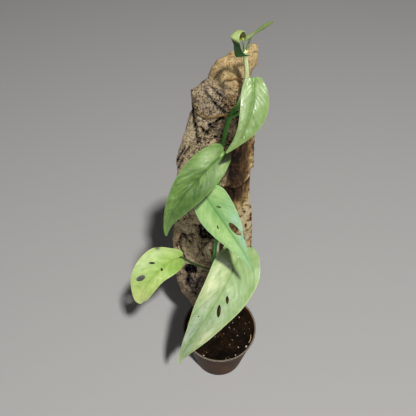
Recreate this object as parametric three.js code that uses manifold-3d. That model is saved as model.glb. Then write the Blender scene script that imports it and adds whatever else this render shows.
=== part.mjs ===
// Potted cebu blue pothos: a young climbing aroid tied by its own roots to a slab of rough bark,
// growing in a thin-walled plastic nursery pot.
// Millimetres, +Z up. The origin is the centre of the pot's underside, and the plant faces -Y.
import * as THREE from "three";
import { mergeVertices } from "three/addons/utils/BufferGeometryUtils.js";
import Module from "manifold-3d";

const wasm = await Module();
wasm.setup();

// Driving dimensions of the pot and what fills it
const POT = { height: 90, rimRadius: 52.5, baseRadius: 36.5, wall: 1.4, floor: 1.8, sides: 56 };
const LIP = { height: 2.4, out: 0.9 };
const FOOT_BEVEL = 1.5;
const DRAIN = { count: 6, radius: 3, circle: 27, sides: 10 };
const SOIL = { level: 82, rings: 8, sides: 36, bump: 0.8 };
const LUMPS = { count: 12, small: 1.8, large: 3, circle: 44 };
const GAP = 0.35;

// Driving dimensions of the bark slab: y of its faces and of its edges
const BARK = { front: 19.5, back: 36.5, topBack: 34.5, edge: 28, topEdge: 32.5 };
const BARK_CROWN = 3;
const BARK_LEAN = { from: 485, slope: 0.29 };
const BARK_TOP = { from: 470, to: 500 };
const BARK_THIN = 1.5;
const BARK_CALM = { below: 92, above: 112 };
const BARK_COLUMNS = { front: 21, back: 9 };
const BARK_ROWS = [[46, 0], [84, 3], [384, 28], [505, 50], [525, 58]];

// The slab's two ragged edges, as [height, x]
const BARK_LEFT = [
  [46, -26], [84, -33], [106, -40], [119, -44], [139, -53], [171, -58.5], [264, -59.5], [283, -57],
  [381, -48], [398, -48.5], [416, -44], [435, -38.5], [449, -35.5], [463, -31], [482, -31.5], [484.5, -27],
  [490, -21.5], [493, -17], [498, -15.5], [506, -12], [510, -9.5], [512, -7], [512.6, -4.3],
  [514.8, -1.5], [518.5, 1.5], [519.5, 5], [520, 16], [524, 17], [525, 18.6],
];
const BARK_RIGHT = [
  [46, 26], [84, 32], [95, 36], [110, 40], [248, 37], [276, 35.5], [312, 33], [327, 31.5], [333, 29],
  [363, 27.5], [385, 27], [388, 30], [398, 29.5], [428, 28], [493, 19.5], [498, 20.5], [503, 22.5],
  [506, 25], [522.5, 24.7], [524.2, 24.2], [525, 23],
];

// Relief of the front: the set-back right strip, furrows along a line, and hollows; depths go into the slab
const STRIP = {
  depth: 3.5,
  soft: 5,
  line: [[110, -4], [273, -9], [345, -6], [374, 0], [392, 0.5], [420, 4], [470, 22]],
};
const LEDGE = { x: 13, z: 358, half: 14, rise: 12, depth: 3, fade: 70 };
const FURROWS = [
  { from: [-30, 471], to: [-25, 425], width: 3, depth: 2.2 },
  { from: [-13, 479], to: [-4, 465], width: 4, depth: 2.5 },
  { from: [-4, 459], to: [-19, 438], width: 4.5, depth: 3 },
  { from: [-47, 284], to: [-50, 254], width: 3.5, depth: 3 },
  { from: [-43, 197], to: [-41, 158], width: 4.5, depth: 4 },
];
const HOLLOWS = [
  { at: [-18, 280], size: [8, 16], depth: 5 },
  { at: [-37, 211], size: [9, 14], depth: 6 },
  { at: [-12, 436], size: [6, 9], depth: 2.2 },
  { at: [-36, 330], size: [7, 12], depth: 2 },
  { at: [-20, 396], size: [6, 9], depth: 2 },
  { at: [-54, 274], size: [5, 12], depth: -2 },
];
const BARK_WAVES = [
  { height: 0.7, x: 0.13, z: 0.06, shift: 0 },
  { height: 0.5, x: 0.21, z: -0.11, shift: 1 },
];

// Driving dimensions of the vine; a node is where a leaf and roots leave the stem
const STEM = { radius: 1.9, swell: 0.5, swellHalf: 4, sides: 8, steps: 52 };
const STEM_NODES = [190, 217, 335, 403, 465, 505, 535];
const STEM_ROUTE = [
  [0, 12, 58], [-1, 12.5, 90], [-6, 14, 140], [-9, 14.8, 190], [-10, 14.8, 217], [-9.2, 14.8, 245],
  [-7.2, 14.8, 283], [-6, 14.8, 335], [-5.5, 14.8, 400], [-2.7, 14.8, 433], [0.7, 14.8, 454],
  [3.3, 14.5, 465], [10.5, 13.5, 481], [14.9, 13, 506], [14.3, 13, 517], [12.9, 12, 527], [12, 9, 535],
];
const SEAT_GAP = 0.3;
const PETIOLE = { radius: 1.45, sides: 6, steps: 10 };
const BLADE = { thick: 0.8, rows: 14, across: [0, 0.14, 0.45, 0.78, 1], tip: 0.7, endCrowd: 0.55 };
const KEEL = { height: 1.4, taper: 0.8 };
const EDGE_WAVES = { rate: 9, leftShift: 2.5, rightShift: 1 };
const PUNCH = { depth: 12, sides: 12 };
const STATIONS = [0, 0.1, 0.25, 0.42, 0.6, 0.78, 0.92];

// The grown leaves: midrib from base to tip as a bezier, the way the upper face looks, half-widths at
// the stations on each side, and holes as [station, across, length, width, turn in degrees]
const LEAVES = {
  leaf_1: {
    petiole: [[3.3, 14.5, 465], [10, 8, 474], [17, 4, 496], [20, -3, 514]],
    midrib: [[18, -12, 523], [20, -29, 509], [13, -35, 484], [-2, -36, 469]],
    face: [-0.08, -0.76, 0.64],
    left: [6.4, 9, 9.3, 8.1, 5.6, 3.4, 1.8],
    right: [6.3, 9.8, 12.3, 12.2, 8.5, 3.9, 1.6],
    lobe: 1.6, fold: 0.2, dome: 2, wave: 0.4,
    holes: [],
  },
  leaf_2: {
    petiole: [[-5.4, 14.8, 403], [-1, 7, 420], [0, -4, 438]],
    midrib: [[-3, -14, 447], [-31, -43, 441], [-57, -45, 398], [-57, -40, 362]],
    face: [0.05, -0.66, 0.75],
    left: [11.7, 15.4, 16.4, 14.1, 9.2, 4.4, 2],
    right: [9, 13.4, 15.6, 14.6, 10.2, 5, 2.3],
    lobe: 4, fold: 0.16, dome: 2.5, wave: 0.6,
    holes: [],
  },
  leaf_3: {
    petiole: [[-6, 14.8, 335], [-10, 9, 352], [-20, 3, 380]],
    midrib: [[-23, -8, 394], [-4.2, -27, 370], [18.4, -52, 356.5], [28.3, -64, 335.4]],
    face: [-0.04, -0.61, 0.79],
    left: [12.6, 15.8, 18.3, 15.8, 10.6, 5, 2.2],
    right: [11.9, 18.2, 18.5, 15.5, 9.2, 2.7, 1.2],
    lobe: 5, fold: 0.15, dome: 2.5, wave: 0.6,
    holes: [[0.225, 4.8, 4.7, 2, 39], [0.375, -7.2, 3.9, 1.5, -17], [0.484, 5.4, 16.6, 5.8, 9]],
  },
  leaf_4: {
    petiole: [[-10, 14.8, 217], [-15, 9, 227], [-30, 3, 245], [-42, -1, 262]],
    midrib: [[-48, -2, 269], [-69, -22, 292], [-99, -44, 255], [-95, -36, 223]],
    face: [0.11, -0.53, 0.84],
    left: [8.2, 13.4, 23.6, 24.6, 20.2, 11, 5.5],
    right: [10.3, 13.6, 14.8, 12.7, 11.7, 9.5, 6],
    lobe: 4, fold: 0.16, dome: 3, wave: 0.6,
    holes: [[0.357, -11.3, 7.2, 2.3, 134], [0.325, 1.7, 3.4, 2.4, 64], [0.566, -9.7, 11.5, 6.1, 155]],
  },
  leaf_5: {
    petiole: [[-9, 14.8, 190], [-6, 9.5, 215], [-5.2, 9, 252], [-3.8, 8.5, 284], [3, 4, 303], [13, -5, 304]],
    midrib: [[19, -12, 296], [-2, -72, 273], [-50, -80, 204], [-53, -78, 141]],
    face: [0, -0.46, 0.89],
    left: [18.4, 22.9, 21.6, 18.1, 10.1, 4.6, 2],
    right: [22, 30.3, 29.5, 22.6, 15.7, 7.9, 2.9],
    lobe: 8, fold: 0.14, dome: 4, wave: 1,
    holes: [[0.279, 9.5, 8.6, 3.6, 29], [0.363, 8.1, 14.9, 4.5, 24], [0.467, -7.5, 2.2, 1.6, 131]],
  },
};

// The young leaf that is half unrolled: its right edge, midrib and left edge at stations from base to
// tip. It rises behind, arches over like a hood and hangs down in front to a tip that points right.
const HOODED_LEAF = {
  petiole: [[11.2, 8.6, 534], [10.5, 5.6, 540], [9.7, 2.6, 546.6], [9.3, 2.9, 549]],
  net: [
    [[10.6, 1.8, 547], [9.8, 2, 546.6], [8.8, 1.8, 547]],
    [[11.4, 1.8, 549.1], [9.4, 3.4, 548], [6.9, 2.4, 547.9]],
    [[11.3, 1.2, 552.4], [9.2, 2.8, 551.9], [6.4, 1.8, 552.5]],
    [[10, -0.6, 555.8], [7.7, 0, 556.6], [4.9, 0.2, 556.1]],
    [[7.5, -3.8, 557], [5.2, -2.4, 557.1], [2.3, -1.4, 555.6]],
    [[6.1, -5.8, 554.6], [3.5, -5, 555.4], [0.4, -3.4, 554.7]],
    [[6.3, -6.4, 551.1], [3.4, -6.6, 553], [0, -4.6, 553.7]],
    [[7.3, -5, 547.1], [4.7, -4.6, 547.7], [2.1, -4.2, 548.6]],
    [[8.9, -4.6, 543], [5.7, -3.8, 542.5], [2.8, -4, 543]],
    [[11.2, -5, 540.3], [8.4, -4.4, 538.7], [4.8, -4.6, 537.5]],
    [[14.8, -5.6, 540.2], [15, -5.6, 539.9], [14.7, -5.6, 539.6]],
  ],
  thick: 0.8, rows: 30, columns: 8,
};

// The newest leaf, still a closed spear
const SPEAR = {
  petiole: [[12.8, 9.4, 534], [14.2, 8.4, 540.5], [15, 6.4, 545], [15, 4.4, 549.5]],
  blade: [[11.8, 5, 546.6], [15.6, 4, 550.6], [19.9, 2, 555.2], [24.4, 0, 560], [30.3, -2, 565.2]],
  radius: [[0, 1.2], [0.12, 1.6], [0.35, 1.2], [0.6, 1.7], [0.85, 1.1], [1, 0.3]],
};
const YOUNG_PETIOLE = { radius: 0.8, steps: 6 };

// Aerial roots, as [x, z] along the bark, with the y of the first point where they leave the stem
const AERIAL_ROOTS = {
  aerial_root_1: {
    radius: 0.9,
    start: [3.3, 14.5, 465],
    route: [[-3, 462.5], [-12, 460.5], [-18, 460], [-26.5, 466.5]],
  },
  aerial_root_2: { radius: 0.8, start: [15.3, 13, 504], route: [[8, 500], [2.5, 499], [-3, 499]] },
  aerial_root_3: { radius: 0.55, start: [3.9, 14.4, 467], route: [[-1.5, 468.5], [-4.5, 472]] },
  aerial_root_4: { radius: 0.6, start: [5.6, 14.2, 471], route: [[0.8, 476], [-5.3, 480]] },
  aerial_root_5: {
    radius: 1,
    start: [-7.2, 14.8, 281],
    route: [[-12, 274.5], [-18, 266.5], [-24, 258], [-31, 239]],
  },
};
const ROOT = { sides: 6, steps: 12, reach: 3 };

// Dried leaf sheaths lying on the soil by the rim, as [x, y]
const DRY_SHEATHS = {
  dry_sheath_left: [[-47.7, 3], [-46, 9], [-41.5, 14.5], [-35.5, 18]],
  dry_sheath_right: [[45, -9], [44.2, -16], [41.5, -22.5]],
};
const SHEATH_RADIUS = 0.9;

const COLORS = {
  pot: 0x4a2f1e, soil: 0x17130d, bark: 0x8f7d60, stem: 0x5f9440, youngLeaf: 0x8fb257, root: 0x8a5a2a,
  sheath: 0xb0925e, leaves: [0x9bb576, 0x5c8a48, 0x9bbf77, 0xb4cc80, 0xabc79f],
};

const vec = (xyz) => new THREE.Vector3(...xyz);
const smoothstep = (from, to, value) => THREE.MathUtils.smoothstep(value, from, to);

// Moves every vertex of a geometry by a rule on its place
function warp(geometry, rule) {
  const position = geometry.getAttribute("position");
  const point = new THREE.Vector3();
  for (let i = 0; i < position.count; i++) {
    rule(point.fromBufferAttribute(position, i));
    position.setXYZ(i, point.x, point.y, point.z);
  }
  return geometry;
}

// A closed geometry as a solid whose faces point out
function toSolid(geometry) {
  const bare = new THREE.BufferGeometry().setAttribute("position", geometry.getAttribute("position"));
  bare.setIndex(geometry.index);
  const merged = mergeVertices(bare, 1e-3);
  const vertProperties = merged.getAttribute("position").array;
  const triVerts = Uint32Array.from(merged.index.array);
  const solid = new wasm.Manifold(new wasm.Mesh({ numProp: 3, vertProperties, triVerts }));
  if (solid.volume() >= 0) return solid;
  return new wasm.Manifold(new wasm.Mesh({ numProp: 3, vertProperties, triVerts: triVerts.reverse() }));
}

// A solid as a geometry for its mesh
function toGeometry(solid) {
  const { vertProperties, triVerts } = solid.getMesh();
  const geometry = new THREE.BufferGeometry();
  geometry.setAttribute("position", new THREE.BufferAttribute(vertProperties, 3));
  geometry.setIndex(new THREE.BufferAttribute(triVerts, 1));
  geometry.computeVertexNormals();
  return geometry;
}

// Straight lines through [at, value] pairs, read at one place
function alongLine(pairs, at) {
  if (at <= pairs[0][0]) return pairs[0][1];
  const next = pairs.findIndex(([place]) => place >= at);
  if (next < 0) return pairs[pairs.length - 1][1];
  const [[x0, y0], [x1, y1]] = [pairs[next - 1], pairs[next]];
  return y0 + ((y1 - y0) * (at - x0)) / (x1 - x0);
}

// A smooth curve through [at, value] pairs, read at one place
function alongCurve(pairs, at) {
  const last = pairs.length - 1;
  const next = Math.max(1, Math.min(last, pairs.findIndex(([place]) => place >= at)));
  const slope = (i) => {
    const [before, after] = [pairs[Math.max(i - 1, 0)], pairs[Math.min(i + 1, last)]];
    return (after[1] - before[1]) / (after[0] - before[0]);
  };
  const [[x0, y0], [x1, y1]] = [pairs[next - 1], pairs[next]];
  const span = x1 - x0;
  const s = (at - x0) / span;
  const [s2, s3] = [s * s, s * s * s];
  return (2 * s3 - 3 * s2 + 1) * y0 + (s3 - 2 * s2 + s) * span * slope(next - 1)
    + (3 * s2 - 2 * s3) * y1 + (s3 - s2) * span * slope(next);
}

// A closed round tube along a curve: a turned spindle whose rings are carried onto the curve
function tube(curve, radiusAt, sides, steps) {
  const profile = [new THREE.Vector2(0, 0)];
  for (let i = 0; i <= steps; i++) profile.push(new THREE.Vector2(1, i + 1));
  profile.push(new THREE.Vector2(0, steps + 2));
  const { tangents, normals, binormals } = curve.computeFrenetFrames(steps);
  const endBulge = 0.5;
  return toSolid(warp(new THREE.LatheGeometry(profile, sides), (p) => {
    const [across, up, row] = [p.x, p.z, Math.round(p.y)];
    const i = THREE.MathUtils.clamp(row - 1, 0, steps);
    const radius = radiusAt(i / steps);
    const bulge = row === 0 ? -endBulge : row === steps + 2 ? endBulge : 0;
    p.copy(curve.getPointAt(i / steps))
      .addScaledVector(normals[i], across * radius)
      .addScaledVector(binormals[i], up * radius)
      .addScaledVector(tangents[i], bulge * radius);
  }));
}

const splineThrough = (points) => new THREE.CatmullRomCurve3(points.map(vec));

// Pot

const potRadiusAt = (z) => THREE.MathUtils.lerp(POT.baseRadius, POT.rimRadius - LIP.out, z / POT.height);

function makePot() {
  const lipFoot = POT.height - LIP.height;
  const profile = [
    [0, 0],
    [POT.baseRadius - FOOT_BEVEL, 0],
    [potRadiusAt(FOOT_BEVEL), FOOT_BEVEL],
    [potRadiusAt(lipFoot), lipFoot],
    [POT.rimRadius, lipFoot + LIP.out],
    [POT.rimRadius, POT.height - LIP.out / 2],
    [POT.rimRadius - LIP.out / 2, POT.height],
    [potRadiusAt(POT.height) - POT.wall, POT.height],
    [potRadiusAt(POT.floor) - POT.wall, POT.floor],
    [0, POT.floor],
  ];
  const points = profile.map(([r, z]) => new THREE.Vector2(r, z));
  let pot = toSolid(new THREE.LatheGeometry(points, POT.sides).rotateX(Math.PI / 2));
  for (let i = 0; i < DRAIN.count; i++) {
    const turn = (2 * Math.PI * i) / DRAIN.count;
    const drill = new THREE.CylinderGeometry(DRAIN.radius, DRAIN.radius, 4 * POT.floor, DRAIN.sides);
    drill.rotateX(Math.PI / 2).translate(DRAIN.circle * Math.cos(turn), DRAIN.circle * Math.sin(turn), 0);
    pot = pot.subtract(toSolid(drill));
  }
  return pot;
}

// Bark slab

const waves = (x, z) =>
  BARK_WAVES.reduce((sum, wave) => sum + wave.height * Math.sin(wave.x * x + wave.z * z + wave.shift), 0);

// How far a furrow's bottom lies into the slab at one place
function furrowDepth({ from, to, width, depth }, x, z) {
  const [dx, dz] = [to[0] - from[0], to[1] - from[1]];
  const along = THREE.MathUtils.clamp(((x - from[0]) * dx + (z - from[1]) * dz) / (dx * dx + dz * dz), 0, 1);
  const off = Math.hypot(x - from[0] - along * dx, z - from[1] - along * dz);
  return depth * Math.exp(-((off / width) ** 2));
}

const hollowDepth = ({ at, size, depth }, x, z) =>
  depth * Math.exp(-(((x - at[0]) / size[0]) ** 4) - ((z - at[1]) / size[1]) ** 4);

// Depth of the relief on the front, into the slab
function relief(x, z) {
  const strip = STRIP.depth * smoothstep(0, STRIP.soft, x - alongLine(STRIP.line, z));
  const scar = LEDGE.z + LEDGE.rise * ((x - LEDGE.x) / LEDGE.half) ** 2;
  const below = smoothstep(0, 3, scar - z) * (1 - smoothstep(0, LEDGE.fade, scar - z));
  const ledge = LEDGE.depth * below * smoothstep(-4, 3, x - alongLine(STRIP.line, z));
  const cuts = FURROWS.reduce((sum, furrow) => sum + furrowDepth(furrow, x, z), 0);
  const pits = HOLLOWS.reduce((sum, hollow) => sum + hollowDepth(hollow, x, z), 0);
  return (strip + ledge + cuts + pits + waves(x, z)) * smoothstep(BARK_CALM.below, BARK_CALM.above, z);
}

// A point of the slab's skin: side is 0 on the left edge and 1 on the right edge
function barkPoint(side, z, onFront, grow) {
  const left = alongLine(BARK_LEFT, z) - grow;
  const right = alongLine(BARK_RIGHT, z) + grow;
  const x = THREE.MathUtils.lerp(left, right, side);
  const off = Math.abs(2 * side - 1);
  const top = smoothstep(BARK_TOP.from, BARK_TOP.to, z);
  const edge = THREE.MathUtils.lerp(BARK.edge, BARK.topEdge, top);
  const lean = BARK_LEAN.slope * Math.max(0, z - BARK_LEAN.from);
  const front = BARK.front - grow + BARK_CROWN * off ** 2 + lean + relief(x, z);
  const back = THREE.MathUtils.lerp(BARK.back, BARK.topBack, top) + grow - BARK_CROWN * off ** 2;
  const roll = 1 - Math.sqrt(Math.max(0, 1 - off ** 5));
  return [x, THREE.MathUtils.lerp(onFront ? Math.min(front, back - BARK_THIN) : back, edge, roll), z];
}

// A drum whose side is carried onto the slab's skin; grow makes the pocket that the slab stands in
function makeBark(grow = 0) {
  const columns = BARK_COLUMNS.front + BARK_COLUMNS.back;
  const rows = BARK_ROWS[BARK_ROWS.length - 1][1];
  const heights = BARK_ROWS.map(([z, row]) => [row, z]);
  const share = (i, n) => THREE.MathUtils.lerp(i / n, 0.5 - 0.5 * Math.cos((Math.PI * i) / n), 0.5);
  return toSolid(warp(new THREE.CylinderGeometry(1, 1, rows, columns, rows), (p) => {
    const column = Math.round((Math.atan2(p.x, p.z) / (2 * Math.PI)) * columns + columns) % columns;
    const z = alongLine(heights, Math.round(p.y + rows / 2)) - (p.y < -rows / 2 + 0.5 ? grow : 0);
    const onFront = column <= BARK_COLUMNS.front;
    const side = onFront
      ? share(column, BARK_COLUMNS.front)
      : 1 - share(column - BARK_COLUMNS.front, BARK_COLUMNS.back);
    const rim = vec(barkPoint(side, z, onFront, grow));
    const middle = vec(barkPoint(0.5, z, true, grow)).lerp(vec(barkPoint(0.5, z, false, grow)), 0.5);
    p.copy(Math.hypot(p.x, p.z) > 0.5 ? rim : middle);
  }));
}

// The slab's front close to a place, the nearest of the faces round it
function barkFrontNear(x, z) {
  const reach = [-ROOT.reach, 0, ROOT.reach];
  const fronts = reach.flatMap((dx) => reach.map((dz) => {
    const [left, right] = [alongLine(BARK_LEFT, z + dz), alongLine(BARK_RIGHT, z + dz)];
    return barkPoint(THREE.MathUtils.clamp((x + dx - left) / (right - left), 0, 1), z + dz, true, 0)[1];
  }));
  return Math.min(...fronts);
}

// Soil

const soilBumps = (x, y) => Math.sin(0.35 * x + 0.2 * y) + Math.sin(0.27 * y - 0.31 * x + 2);
const soilTop = (x, y) => SOIL.level + (SOIL.bump / 2) * soilBumps(x, y);

function makeSoil(pockets) {
  const wallRadius = (z) => potRadiusAt(z) - POT.wall - GAP;
  const bottom = POT.floor + GAP;
  const points = [new THREE.Vector2(0, bottom), new THREE.Vector2(wallRadius(POT.floor), bottom)];
  for (let i = SOIL.rings; i >= 0; i--) {
    points.push(new THREE.Vector2((wallRadius(SOIL.level) * i) / SOIL.rings, SOIL.level));
  }
  const drum = new THREE.LatheGeometry(points, SOIL.sides).rotateX(Math.PI / 2);
  let soil = toSolid(warp(drum, (p) => {
    if (p.z > SOIL.level - 1) p.z = soilTop(p.x, p.y);
  }));
  const golden = Math.PI * (3 - Math.sqrt(5));
  for (let i = 0; i < LUMPS.count; i++) {
    const distance = LUMPS.circle * Math.sqrt((i + 0.5) / LUMPS.count);
    const [x, y] = [distance * Math.cos(golden * i), distance * Math.sin(golden * i)];
    const size = THREE.MathUtils.lerp(LUMPS.small, LUMPS.large, (i * 7 % 10) / 9);
    const lump = new THREE.OctahedronGeometry(size, 0).rotateX(i).rotateZ(2 * i);
    soil = soil.add(toSolid(lump.translate(x, y, soilTop(x, y))));
  }
  for (const pocket of pockets) soil = soil.subtract(pocket);
  return soil;
}

// Stem

function makeStem(grow = 0) {
  const route = splineThrough(STEM_ROUTE);
  const radiusAt = (t) => {
    const { z } = route.getPointAt(t);
    const swell = STEM_NODES.reduce((sum, node) => sum + Math.exp(-(((z - node) / STEM.swellHalf) ** 2)), 0);
    return STEM.radius + STEM.swell * Math.min(1, swell) + grow;
  };
  return tube(route, radiusAt, STEM.sides, STEM.steps);
}

// Leaves

// The frame of a leaf at a station: the midrib's place, its direction, the upper face and the right side
function leafFrame(leaf, station) {
  const [start, a, b, end] = leaf.midrib.map(vec);
  const midrib = new THREE.CubicBezierCurve3(start, a, b, end);
  const held = THREE.MathUtils.clamp(station, 0, 1);
  const along = midrib.getTangent(held);
  const face = vec(leaf.face).normalize();
  const up = face.addScaledVector(along, -face.dot(along)).normalize();
  const right = new THREE.Vector3().crossVectors(up, along);
  const at = midrib.getPoint(held).addScaledVector(along, (station - held) * midrib.getLength());
  return { at, along, up, right, length: midrib.getLength() };
}

// A point of a leaf's blade: across is in millimetres, lift is the height over the blade's middle skin
function leafPoint(leaf, station, across, lift) {
  const { at, up, right } = leafFrame(leaf, station);
  const width = Math.max(...leaf.left, ...leaf.right);
  const valley = leaf.fold * Math.abs(across) - leaf.dome * (across / width) ** 2;
  const shift = across > 0 ? EDGE_WAVES.rightShift : EDGE_WAVES.leftShift;
  const edgeWave = leaf.wave * Math.sin(EDGE_WAVES.rate * station + shift) * (across / width) ** 2;
  return at.addScaledVector(right, across).addScaledVector(up, valley + edgeWave + lift);
}

function halfWidth(leaf, station, side) {
  const widths = side < 0 ? leaf.left : leaf.right;
  const pairs = STATIONS.map((place, i) => [place, widths[i]]);
  return alongCurve([...pairs, [1, BLADE.tip]], station);
}

// Splits the underside's squares the same way as the upper side's
function matchDiagonals(box) {
  const { start, count } = box.groups[5];
  for (let i = start; i < start + count; i += 6) {
    const [a, b, d, , c] = Array.from({ length: 6 }, (_, k) => box.index.getX(i + k));
    [a, b, c, a, c, d].forEach((vertex, k) => box.index.setX(i + k, vertex));
  }
  return box;
}

// A thin plate bent onto the leaf, with a keel along the midrib underneath
function makeBlade(leaf) {
  const { rows, across, thick, endCrowd } = BLADE;
  const side = across.length - 1;
  const box = matchDiagonals(new THREE.BoxGeometry(1, 2, 1, rows, 2 * side, 1));
  const { length } = leafFrame(leaf, 0);
  return toSolid(warp(box, (p) => {
    const share = p.x + 0.5;
    const station = THREE.MathUtils.lerp(share, 0.5 - 0.5 * Math.cos(Math.PI * share), endCrowd);
    const column = Math.round(Math.abs(p.y) * side);
    const back = (leaf.lobe / length) * Math.sin(Math.PI * across[column]) * (1 - station) ** 4;
    const deep = p.z < 0 && column === 0 ? KEEL.height * (1 - KEEL.taper * station) : 0;
    const off = Math.sign(p.y) * across[column] * halfWidth(leaf, station, p.y);
    p.copy(leafPoint(leaf, station - back, off, p.z * thick - deep));
  }));
}

function makeHole(leaf, [station, across, long, wide, turn]) {
  const { along, up, right } = leafFrame(leaf, station);
  const punch = new THREE.CylinderGeometry(0.5, 0.5, PUNCH.depth, PUNCH.sides).rotateX(Math.PI / 2);
  punch.scale(long, wide, 1).rotateZ(THREE.MathUtils.degToRad(turn));
  const place = leafPoint(leaf, station, across, 0);
  return toSolid(punch.applyMatrix4(new THREE.Matrix4().makeBasis(along, right, up).setPosition(place)));
}

function makeLeaf(leaf, stemSocket) {
  const petiole = splineThrough([...leaf.petiole, leaf.midrib[0]]);
  let solid = makeBlade(leaf);
  for (const hole of leaf.holes) solid = solid.subtract(makeHole(leaf, hole));
  solid = solid.add(tube(petiole, () => PETIOLE.radius, PETIOLE.sides, PETIOLE.steps));
  return solid.subtract(stemSocket);
}

const youngPetiole = (points) =>
  tube(splineThrough(points), () => YOUNG_PETIOLE.radius, ROOT.sides, YOUNG_PETIOLE.steps);

// A plate of even thickness over a smooth skin: curves along the stations, a parabola across
function makeHoodedLeaf({ petiole, net, thick, rows, columns }, stemSocket) {
  const curves = [0, 1, 2].map((k) =>
    new THREE.CatmullRomCurve3(net.map((station) => vec(station[k])), false, "catmullrom"));
  const skin = (along, across) => {
    const [right, middle, left] = curves.map((curve) => curve.getPoint(along));
    return right.multiplyScalar((across * (across + 1)) / 2)
      .addScaledVector(middle, 1 - across ** 2)
      .addScaledVector(left, (across * (across - 1)) / 2);
  };
  const step = 1e-3;
  const box = matchDiagonals(new THREE.BoxGeometry(1, 2, 1, rows, columns, 1));
  const blade = toSolid(warp(box, (p) => {
    const along = THREE.MathUtils.clamp(p.x + 0.5, step, 1 - step);
    const run = skin(along + step, p.y).sub(skin(along - step, p.y));
    const reach = skin(along, p.y + step).sub(skin(along, p.y - step));
    p.copy(skin(along, p.y).addScaledVector(run.cross(reach).normalize(), p.z * thick));
  }));
  return blade.add(youngPetiole(petiole)).subtract(stemSocket);
}

function makeSpear(stemSocket) {
  const bladeRadius = (t) => alongCurve(SPEAR.radius, t);
  const blade = tube(splineThrough(SPEAR.blade), bladeRadius, PETIOLE.sides, PETIOLE.steps);
  return blade.add(youngPetiole(SPEAR.petiole)).subtract(stemSocket);
}

// Roots and dried sheaths

function makeRoot({ start, route, radius }, stemSocket) {
  const points = route.map(([x, z]) => [x, barkFrontNear(x, z) - radius - GAP, z]);
  const curve = splineThrough([start, ...points]);
  const taper = (t) => radius * THREE.MathUtils.lerp(1, 0.7, t);
  return tube(curve, taper, ROOT.sides, ROOT.steps).subtract(stemSocket);
}

function makeSheath(route) {
  const clear = SOIL.bump + SHEATH_RADIUS + GAP;
  const points = route.map(([x, y]) => [x, y, soilTop(x, y) + clear]);
  return tube(splineThrough(points), () => SHEATH_RADIUS, ROOT.sides, ROOT.steps / 2);
}

// The assembly

const plant = new THREE.Group();
plant.name = "potted_cebu_blue_pothos";

function place(name, solid, color, roughness) {
  const material = new THREE.MeshStandardMaterial({ color, roughness, metalness: 0 });
  const mesh = new THREE.Mesh(toGeometry(solid), material);
  mesh.name = name;
  plant.add(mesh);
}

const stemSocket = makeStem(SEAT_GAP);
place("pot", makePot(), COLORS.pot, 0.35);
place("soil", makeSoil([makeBark(GAP), stemSocket]), COLORS.soil, 0.95);
place("bark_slab", makeBark(), COLORS.bark, 0.9);
place("vine_stem", makeStem(), COLORS.stem, 0.5);
Object.entries(LEAVES).forEach(([name, leaf], i) => {
  place(name, makeLeaf(leaf, stemSocket), COLORS.leaves[i], 0.4);
});
place("leaf_6_curled", makeHoodedLeaf(HOODED_LEAF, stemSocket), COLORS.youngLeaf, 0.45);
place("leaf_7_spear", makeSpear(stemSocket), COLORS.youngLeaf, 0.45);
Object.entries(AERIAL_ROOTS).forEach(([name, root]) => {
  place(name, makeRoot(root, stemSocket), COLORS.root, 0.8);
});
Object.entries(DRY_SHEATHS).forEach(([name, route]) => {
  place(name, makeSheath(route), COLORS.sheath, 0.85);
});

export default plant;
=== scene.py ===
"""Looks of a potted cebu blue pothos that climbs a slab of rough bark.

Sizes and places are in millimetres in the part's own frame: +Z up, the origin under the middle of the
pot, and -Y towards the side that the leaves face. They turn into metres as each mesh is made.
"""

import logging
import math
import random
from dataclasses import dataclass, field
from enum import Enum
from typing import Any, Callable, Sequence

import bmesh
import bpy
from mathutils import Matrix, Vector, noise


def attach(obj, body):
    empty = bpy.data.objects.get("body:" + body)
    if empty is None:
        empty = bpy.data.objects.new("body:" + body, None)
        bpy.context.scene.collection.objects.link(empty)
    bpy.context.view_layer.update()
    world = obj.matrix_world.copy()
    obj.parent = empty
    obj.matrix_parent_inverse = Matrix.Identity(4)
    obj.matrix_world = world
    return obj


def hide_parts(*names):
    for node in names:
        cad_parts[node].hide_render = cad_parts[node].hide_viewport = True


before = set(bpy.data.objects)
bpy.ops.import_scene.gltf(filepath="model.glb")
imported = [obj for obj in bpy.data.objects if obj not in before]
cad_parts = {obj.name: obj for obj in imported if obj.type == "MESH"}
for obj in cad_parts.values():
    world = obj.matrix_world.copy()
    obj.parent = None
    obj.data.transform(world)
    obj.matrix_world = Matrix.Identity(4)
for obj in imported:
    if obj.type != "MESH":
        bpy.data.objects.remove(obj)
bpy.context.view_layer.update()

MM = 0.001
LOG = logging.getLogger("pothos")

# Parts of each stretch between two points of a curve, and of a midrib, when its length is measured
CURVE_PARTS = 24
RIB_PARTS = 200
# Added to the count of side veins, so that it stays above 0 on the lobes
VEINS_BEFORE = 40
# Millimetres between the rings of thin things, and between corners that count as one
FINE_STEP = 0.4
MERGE = 1e-3
FINE_MERGE = 1e-4
SMOOTH = {"interpolation_type": "SMOOTHSTEP"}

Inputs = dict[str | int, Any]
Pairs = Sequence[tuple[float, float]]
Triple = tuple[float, float, float]


def lerp(start: float, end: float, share: float) -> float:
    """Goes from start to end by a share."""
    return start + (end - start) * share


def clamp(value: float, low: float = 0.0, high: float = 1.0) -> float:
    """Keeps a value between two limits."""
    return max(low, min(high, value))


def smoothstep(low: float, high: float, value: float) -> float:
    """Rises smoothly from 0 at low to 1 at high."""
    share = clamp((value - low) / (high - low))
    return share * share * (3 - 2 * share)


def bell(distance: float, width: float) -> float:
    """Falls from 1 at no distance to nearly 0 at twice the width."""
    return math.exp(-((distance / width) ** 2))


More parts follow.
